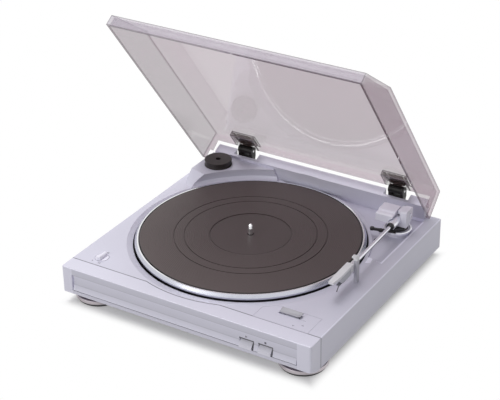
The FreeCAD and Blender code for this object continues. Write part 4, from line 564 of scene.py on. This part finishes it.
def smoked_clear(colours):
    """Clear smoke-tinted plastic with dark lines along its corners and pockets, denser where its walls are
    seen edge-on.
    """
    finish = Finish("Smoked clear", colours.cover, 0.04, Specular_IOR_Level=0.5, IOR=2.2)
    finish.material.surface_render_method = "BLENDED"
    x, y, z = finish.axes(finish.shifted(HINGE_LINE, (-OPEN_ANGLE, 0, 0)))
    outline, wall = cover_outlines(x, y, z)
    pocket, lines = pocket_lines(x, y, z)
    ridge = abs(z - COVER_TOP).highest(abs(y - COVER_RIDGE_Y)).before(RIDGE_HALF, 0.0012)
    lip = y.before(LIP_REAR, 0.001)
    dark = lines.highest(outline * 0.8)
    smear = finish.noise(7.0, 3.0)
    base = finish.mix(lip, finish.mix(pocket, colours.cover, COVER_POCKET), COVER_LIP)
    finish.set("Base Color", finish.mix(dark.highest(ridge * 0.4), base, colours.cover_edge))
    clear = smear * 0.02 + 0.33 - pocket * 0.06 - lip * 0.1
    finish.set("Alpha", (clear + wall * 0.1).highest(ridge * 0.5).highest(dark * 0.9))
    finish.set("Roughness", smear * 0.05 + 0.03)
    return finish.material


# Mesh helpers

def weld_and_bevel(width, *names):
    """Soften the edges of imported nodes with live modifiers."""
    for name in names:
        item = NODES[name]
        weld = item.modifiers.new("Weld", "WELD")
        weld.merge_threshold = 0.00001
        bevel = item.modifiers.new("Soft edges", "BEVEL")
        bevel.width = width
        bevel.segments = 2
        bevel.limit_method = "ANGLE"
        bevel.angle_limit = math.radians(30.0)
        bevel.harden_normals = True


def dress(material, *names):
    """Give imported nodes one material."""
    for name in names:
        slots = NODES[name].data.materials
        slots.clear()
        slots.append(material)


def mesh_object(name, work, material):
    """Make an object of a bmesh, at the origin."""
    mesh = bpy.data.meshes.new(name)
    work.to_mesh(mesh)
    work.free()
    mesh.materials.append(material)
    item = bpy.data.objects.new(name, mesh)
    bpy.context.scene.collection.objects.link(item)
    return item


def finished(name, work, material, body):
    """Make a piece with outward normals and let it ride on a body."""
    bmesh.ops.remove_doubles(work, verts=work.verts, dist=1e-7)
    bmesh.ops.recalc_face_normals(work, faces=work.faces)
    item = mesh_object(name, work, material)
    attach(item, body)


def raised_face(work, corners, height):
    """Raise an outline of points into a thin plate."""
    face = work.faces.new([work.verts.new(point) for point in corners])
    pushed = bmesh.ops.extrude_face_region(work, geom=[face])
    moved = [item for item in pushed["geom"] if isinstance(item, bmesh.types.BMVert)]
    bmesh.ops.translate(work, verts=moved, vec=Vector(height))


def flat_marks(work, shapes, height):
    """Raise level outlines, given in millimetres on the deck, into thin plates."""
    for shape in shapes:
        raised_face(work, [(x / 1000, y / 1000, DECK) for x, y in shape], (0, 0, height))


DIGIT_STROKES = {"3": "abgcd", "4": "fgbc", "5": "afgcd"}
STROKE_BARS = {"a": (0, 1, 1, 1), "b": (1, 0.5, 1, 1), "c": (1, 0, 1, 0.5), "d": (0, 0, 1, 0),
               "f": (0, 0.5, 0, 1), "g": (0, 0.5, 1, 0.5)}


def digits(text, left, foot, tall=2.2, wide=1.2, stroke=0.28):
    """Outlines of plain digits made of bars."""
    shapes = []
    for place, character in enumerate(text):
        start = left + place * wide * 1.6
        for bar in DIGIT_STROKES[character]:
            x0, y0, x1, y1 = STROKE_BARS[bar]
            low = (start + x0 * wide - stroke / 2, foot + y0 * tall - stroke / 2)
            high = (start + x1 * wide + stroke / 2, foot + y1 * tall + stroke / 2)
            shapes.append([low, (high[0], low[1]), high, (low[0], high[1])])
    return shapes


def arrow(x, y, up):
    """Outline of a plain arrow head."""
    way = 1 if up else -1
    corners = [(x - 1.7, y - 1.1 * way), (x + 1.7, y - 1.1 * way), (x, y + 1.3 * way)]
    return corners if up else corners[::-1]


# Settings

class TurntableSizes(bpy.types.PropertyGroup):
    """Sizes that a user would change."""

    mark_height: FloatProperty(name="Mark height", description="How far printed marks stand above a surface",
                               default=0.00008, unit="LENGTH")
    edge_width: FloatProperty(name="Edge softness", description="Width of the softened edges of small parts",
                              default=0.0004, unit="LENGTH")


class TurntableColours(bpy.types.PropertyGroup):
    """Colours that a user would change."""

    silver: FloatVectorProperty(name="Silver", description="Silver paint of the top case", subtype="COLOR",
                                default=(0.64, 0.63, 0.735))
    fascia: FloatVectorProperty(name="Fascia", description="Silver paint of the fascia", subtype="COLOR",
                                default=(0.68, 0.67, 0.775))
    trim: FloatVectorProperty(name="Trim", description="Silver plastic of the keys, knob and arm",
                              subtype="COLOR", default=(0.66, 0.65, 0.73))
    mat: FloatVectorProperty(name="Mat", description="Rubber of the mat", subtype="COLOR",
                             default=(0.074, 0.054, 0.054))
    metal: FloatVectorProperty(name="Metal", description="Bright metal", subtype="COLOR",
                               default=(0.86, 0.86, 0.88))
    black: FloatVectorProperty(name="Black", description="Black plastic of the hinges and the arm's base",
                               subtype="COLOR", default=(0.014, 0.012, 0.012))
    cover: FloatVectorProperty(name="Cover", description="Tint of the dust cover", subtype="COLOR",
                               default=(0.3, 0.075, 0.215))
    cover_edge: FloatVectorProperty(name="Cover edge", description="Tint of the cover's cut edges",
                                    subtype="COLOR", default=(0.05, 0.02, 0.035))
    print_ink: FloatVectorProperty(name="Print", description="Ink of the printed marks", subtype="COLOR",
                                   default=(0.13, 0.12, 0.16))
    print_grey: FloatVectorProperty(name="Grey print", description="Ink of the marks beside the lever",
                                    subtype="COLOR", default=(0.36, 0.35, 0.42))


# Operators

class FinishOperator(bpy.types.Operator):
    """Shared ground of the turntable's operators."""

    bl_options = {"REGISTER", "UNDO"}

    @property
    def sizes(self):
        return bpy.context.scene.turntable_sizes

    @property
    def colours(self):
        return bpy.context.scene.turntable_colours


class TURNTABLE_OT_stage(FinishOperator):
    """Set the pale floor, the soft light and the camera"""

    bl_idname = "turntable.stage"
    bl_label = "Stage"

    def execute(self, context):
        scene = context.scene
        scene.view_settings.view_transform = "Standard"
        self.floor()
        self.world(scene)
        for lamp in LAMPS:
            self.lamp(*lamp)
        self.camera(scene)
        return {"FINISHED"}

    def floor(self):
        """White floor that glows where it is seen, and keeps the shadow under the plinth."""
        work = bmesh.new()
        bmesh.ops.create_circle(work, cap_ends=True, segments=64, radius=FLOOR_RADIUS)
        finish = Finish("Floor", FLOOR_SEEN, 0.9)
        seen = finish.seen_directly()
        finish.set("Base Color", finish.mix(seen, FLOOR_LIGHT, FLOOR_SEEN))
        x, y, z = finish.axes()
        across = abs(x - PLINTH_MIDDLE[0]) - PLINTH_HALF[0]
        along = abs(y - PLINTH_MIDDLE[1]) - PLINTH_HALF[1]
        away = across.highest(along).past(*SHADOW_EDGE)
        glow = finish.node("ShaderNodeEmission", None, {"Color": (1, 1, 1, 1), "Strength": 1.0})
        share = seen * (away * (1 - FLOOR_GLOW_UNDER) + FLOOR_GLOW_UNDER)
        lit = Field(finish, finish.shader.outputs[0])
        blend = finish.node("ShaderNodeMixShader", None, {0: share, 1: lit, 2: glow})
        finish.join(finish.tree.nodes["Material Output"].inputs["Surface"], blend)
        item = mesh_object("Floor", work, finish.material)
        item.location.z = -FLOOR_DROP

    def world(self, scene):
        """White surroundings that light the object less than they show."""
        world = bpy.data.worlds.new("Studio")
        world.use_nodes = True
        scene.world = world
        graph = Graph(world.node_tree)
        background = graph.tree.nodes["Background"]
        graph.join(background.inputs["Color"], (1.0, 1.0, 1.0, 1.0))
        graph.join(background.inputs["Strength"], graph.seen_directly() * (1 - WORLD_LIGHT) + WORLD_LIGHT)

    def lamp(self, name, place, size, power):
        """Square lamp that faces the object."""
        light = bpy.data.lights.new(name, "AREA")
        light.size = size
        light.energy = power
        item = bpy.data.objects.new(name, light)
        item.location = place
        item.rotation_euler = (Vector(LAMP_TARGET) - Vector(place)).to_track_quat("-Z", "Y").to_euler()
        bpy.context.scene.collection.objects.link(item)

    def camera(self, scene):
        """Camera at the photograph's place and with its view."""
        data = bpy.data.cameras.new("Camera")
        data.lens = CAMERA_LENS
        data.sensor_width = CAMERA_SENSOR
        data.clip_start = 0.05
        item = bpy.data.objects.new("Camera", data)
        ahead = Vector(CAMERA_AHEAD).normalized()
        up = Vector(CAMERA_RIGHT).normalized().cross(ahead).normalized()
        right = ahead.cross(up).normalized()
        turn = Matrix((right, up, -ahead)).transposed()
        item.matrix_world = Matrix.Translation(CAMERA_PLACE) @ turn.to_4x4()
        scene.collection.objects.link(item)
        scene.camera = item


class TURNTABLE_OT_plinth(FinishOperator):
    """Paint the case, the fascia and the inset plate"""

    bl_idname = "turntable.plinth"
    bl_label = "Plinth"

    def execute(self, context):
        colours = self.colours
        # Painted highlights on the recess's slopes and rounded edges; painted shade in the seam and the well.
        case_light_and_shade = ((recess_slope_highlight, 1.4), (edge_highlights, 1.4), (seam_shade, 0.35), (well_shade, 0.12))
        dress(silver_paint("Silver paint", colours.silver, places=case_light_and_shade), "top_case")
        # Painted shade in the strip's bands, the seam and the key gaps; painted light on the strip's left end
        # wall.
        fascia_light_and_shade = ((strip_band_shade, 0.5), (strip_end_light, 1.4), (seam_shade, 0.35), (key_gap_shade, 0.08))
        dress(silver_paint("Fascia paint", colours.fascia, places=fascia_light_and_shade), "fascia")
        dress(silver_paint("Inset plate", shade(colours.silver, 1.03), 0.36), "cue_panel")
        dress(moulded_plastic("Cap black", colours.black, 0.4), "recess_caps")
        return {"FINISHED"}


class TURNTABLE_OT_controls(FinishOperator):
    """Finish the keys, the knob and the cueing lever"""

    bl_idname = "turntable.controls"
    bl_label = "Keys, knob and lever"

    def execute(self, context):
        trim = self.colours.trim
        dress(moulded_plastic("Silver trim", shade(trim, 1.25), 0.36, 0.03), "speed_knob")
        dress(moulded_plastic("Key trim", shade(trim, 1.16), 0.32, 0.02), "start_key", "stop_key")
        # The lever's trim is a darker copy of the trim colour: painted shade.
        dress(moulded_plastic("Lever trim shaded", shade(trim, 0.55), 0.36, 0.03), "cue_lever")
        weld_and_bevel(self.sizes.edge_width, "start_key", "stop_key", "speed_knob", "cue_lever")
        return {"FINISHED"}


class TURNTABLE_OT_marks(FinishOperator):
    """Print plain arrows, digits and key signs"""

    bl_idname = "turntable.marks"
    bl_label = "Printed marks"

    def execute(self, context):
        height = self.sizes.mark_height
        grey = moulded_plastic("Grey print", self.colours.print_grey, 0.5, 0.02)
        ink = moulded_plastic("Dark print", self.colours.print_ink, 0.5, 0.02)
        self.cue_marks(height, grey)
        self.knob_marks(height, ink)
        self.key_marks(height, ink)
        return {"FINISHED"}

    def cue_marks(self, height, ink):
        """A bar and two arrow heads beside the cueing lever."""
        work = bmesh.new()
        bar = [(156.5, -137.9), (160.5, -137.9), (160.5, -137.2), (156.5, -137.2)]
        flat_marks(work, [bar, arrow(162, -147, True), arrow(152, -153, False)], height)
        finished("cue_marks", work, ink, "plinth")

    def knob_marks(self, height, ink):
        """The two speeds and a dot round the speed selector."""
        work = bmesh.new()
        flat_marks(work, digits("33", -131.5, -154.1) + digits("45", -136.5, -128.3), height)
        bmesh.ops.create_circle(work, cap_ends=True, segments=20, radius=0.0008,
                                matrix=Matrix.Translation((-0.141, -0.152, DECK + height)))
        finished("knob_marks", work, ink, "plinth")

    def key_marks(self, height, ink):
        """A triangle over the start key and a square over the stop key, in millimetres."""
        work = bmesh.new()
        triangle = [(-1.4, -1.3), (1.5, 0), (-1.4, 1.3)]
        square = [(-1.3, -1.3), (1.3, -1.3), (1.3, 1.3), (-1.3, 1.3)]
        for middle, sign in zip(KEY_MIDDLES, (triangle, square)):
            corners = [(middle + x / 1000, STRIP_FACE, KEY_SIGN_Z + z / 1000) for x, z in sign]
            raised_face(work, corners, (0, -height, 0))
        finished("key_marks", work, ink, "plinth")


class TURNTABLE_OT_platter(FinishOperator):
    """Finish the platter, its mat and the spindle"""

    bl_idname = "turntable.platter"
    bl_label = "Platter"

    def execute(self, context):
        dress(platter_metal(self.colours), "platter")
        dress(mat_rubber(self.colours.mat), "platter_mat")
        dress(turned_metal("Spindle steel", self.colours.metal, 0.12), "spindle")
        return {"FINISHED"}


class TURNTABLE_OT_arm(FinishOperator):
    """Finish the tonearm, its rest and its lift"""

    bl_idname = "turntable.arm"
    bl_label = "Tonearm"

    def execute(self, context):
        colours = self.colours
        dress(polished_metal("Arm chrome", colours.metal, 0.09), "pivot_pin")
        dress(moulded_plastic("Arm trim", shade(colours.trim, 1.28), 0.34, 0.03), "arm_yoke", "arm_housing")
        dress(moulded_plastic("Arm black", colours.black, 0.4), "lift_bar", "arm_collar", "arm_rest_pad")
        dress(moulded_plastic("Headshell", HEADSHELL_PALE, 0.4, 0.03), "headshell")
        dress(moulded_plastic("Cartridge", CARTRIDGE_GREY, 0.42), "cartridge")
        dress(moulded_plastic("Stylus grey", STYLUS_GREY, 0.4), "stylus")
        dress(tube_chrome(), "arm_tube")
        dress(polished_metal("Arm ring", RING_BRIGHT, 0.3), "arm_sleeve", "base_ring")
        dress(polished_metal("Counterweight steel", WEIGHT_STEEL, 0.3), "counterweight")
        dress(rest_plastic(colours), "arm_rest")
        dress(base_black(colours), "arm_base")
        weld_and_bevel(self.sizes.edge_width, "arm_yoke", "arm_housing", "arm_rest", "headshell", "cartridge")
        return {"FINISHED"}


class TURNTABLE_OT_adapter(FinishOperator):
    """Finish the large-hole adapter"""

    bl_idname = "turntable.adapter"
    bl_label = "Adapter"

    def execute(self, context):
        dress(moulded_plastic("Adapter black", ADAPTER_BLACK, 0.38, specular=0.4), "adapter_45")
        return {"FINISHED"}


class TURNTABLE_OT_cover(FinishOperator):
    """Finish the dust cover and its hinges"""

    bl_idname = "turntable.cover"
    bl_label = "Dust cover"

    def execute(self, context):
        dress(smoked_clear(self.colours), "dust_cover")
        black = moulded_plastic("Hinge black", self.colours.black, 0.36, specular=0.2)
        steel = polished_metal("Hinge steel", HINGE_STEEL, 0.3)
        for side in ("left", "right"):
            dress(black, "hinge_base_" + side, "hinge_leaf_" + side)
            dress(steel, "hinge_pin_" + side)
        return {"FINISHED"}


class TURNTABLE_OT_feet(FinishOperator):
    """Finish the feet"""

    bl_idname = "turntable.feet"
    bl_label = "Feet"

    def execute(self, context):
        ring = polished_metal("Foot ring", FOOT_METAL, 0.34)
        sole = rubber("Foot sole", SOLE_BLACK)
        for place in ("front_left", "front_right", "rear_left", "rear_right"):
            dress(ring, "foot_" + place)
            dress(sole, "foot_sole_" + place)
        return {"FINISHED"}


class TURNTABLE_OT_inside(FinishOperator):
    """Finish what the case holds"""

    bl_idname = "turntable.inside"
    bl_label = "Inside"

    def execute(self, context):
        dress(polished_metal("Plated steel", STEEL, 0.35), "bottom_screws", "foot_screws", "motor",
              "motor_bracket", "motor_screws", "cam_post", "transformer", "cue_bracket")
        dress(moulded_plastic("Bottom black", BOTTOM_BLACK, 0.55),
              "bottom_cover", "speed_switch", "key_switches")
        dress(rubber("Belt rubber", BELT_BLACK), "drive_belt", "signal_gland", "mains_gland")
        dress(polished_metal("Brass", BRASS, 0.25), "main_bearing", "motor_pulley")
        dress(moulded_plastic("Gear white", GEAR_WHITE, 0.4), "cam_gear")
        dress(moulded_plastic("Board green", BOARD_GREEN, 0.35), "circuit_board")
        return {"FINISHED"}


class VIEW3D_PT_turntable(bpy.types.Panel):
    """Panel that lists the turntable's settings and operators."""

    bl_label = "Turntable"
    bl_space_type = "VIEW_3D"
    bl_region_type = "UI"
    bl_category = "Turntable"

    def draw(self, context):
        layout = self.layout
        for group in (context.scene.turntable_sizes, context.scene.turntable_colours):
            for name in group.__annotations__:
                layout.prop(group, name)
        for operator in OPERATORS:
            layout.operator(operator.bl_idname)


OPERATORS = (
    TURNTABLE_OT_stage,
    TURNTABLE_OT_plinth,
    TURNTABLE_OT_controls,
    TURNTABLE_OT_marks,
    TURNTABLE_OT_platter,
    TURNTABLE_OT_arm,
    TURNTABLE_OT_adapter,
    TURNTABLE_OT_cover,
    TURNTABLE_OT_feet,
    TURNTABLE_OT_inside,
)
CLASSES = (TurntableSizes, TurntableColours, *OPERATORS, VIEW3D_PT_turntable)


def register():
    for item in CLASSES:
        bpy.utils.register_class(item)
    bpy.types.Scene.turntable_sizes = PointerProperty(type=TurntableSizes)
    bpy.types.Scene.turntable_colours = PointerProperty(type=TurntableColours)


def unregister():
    del bpy.types.Scene.turntable_colours
    del bpy.types.Scene.turntable_sizes
    for item in reversed(CLASSES):
        bpy.utils.unregister_class(item)


def main():
    """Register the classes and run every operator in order."""
    register()
    for operator in OPERATORS:
        group, name = operator.bl_idname.split(".")
        getattr(getattr(bpy.ops, group), name)()


if __name__ == "__main__":
    main()
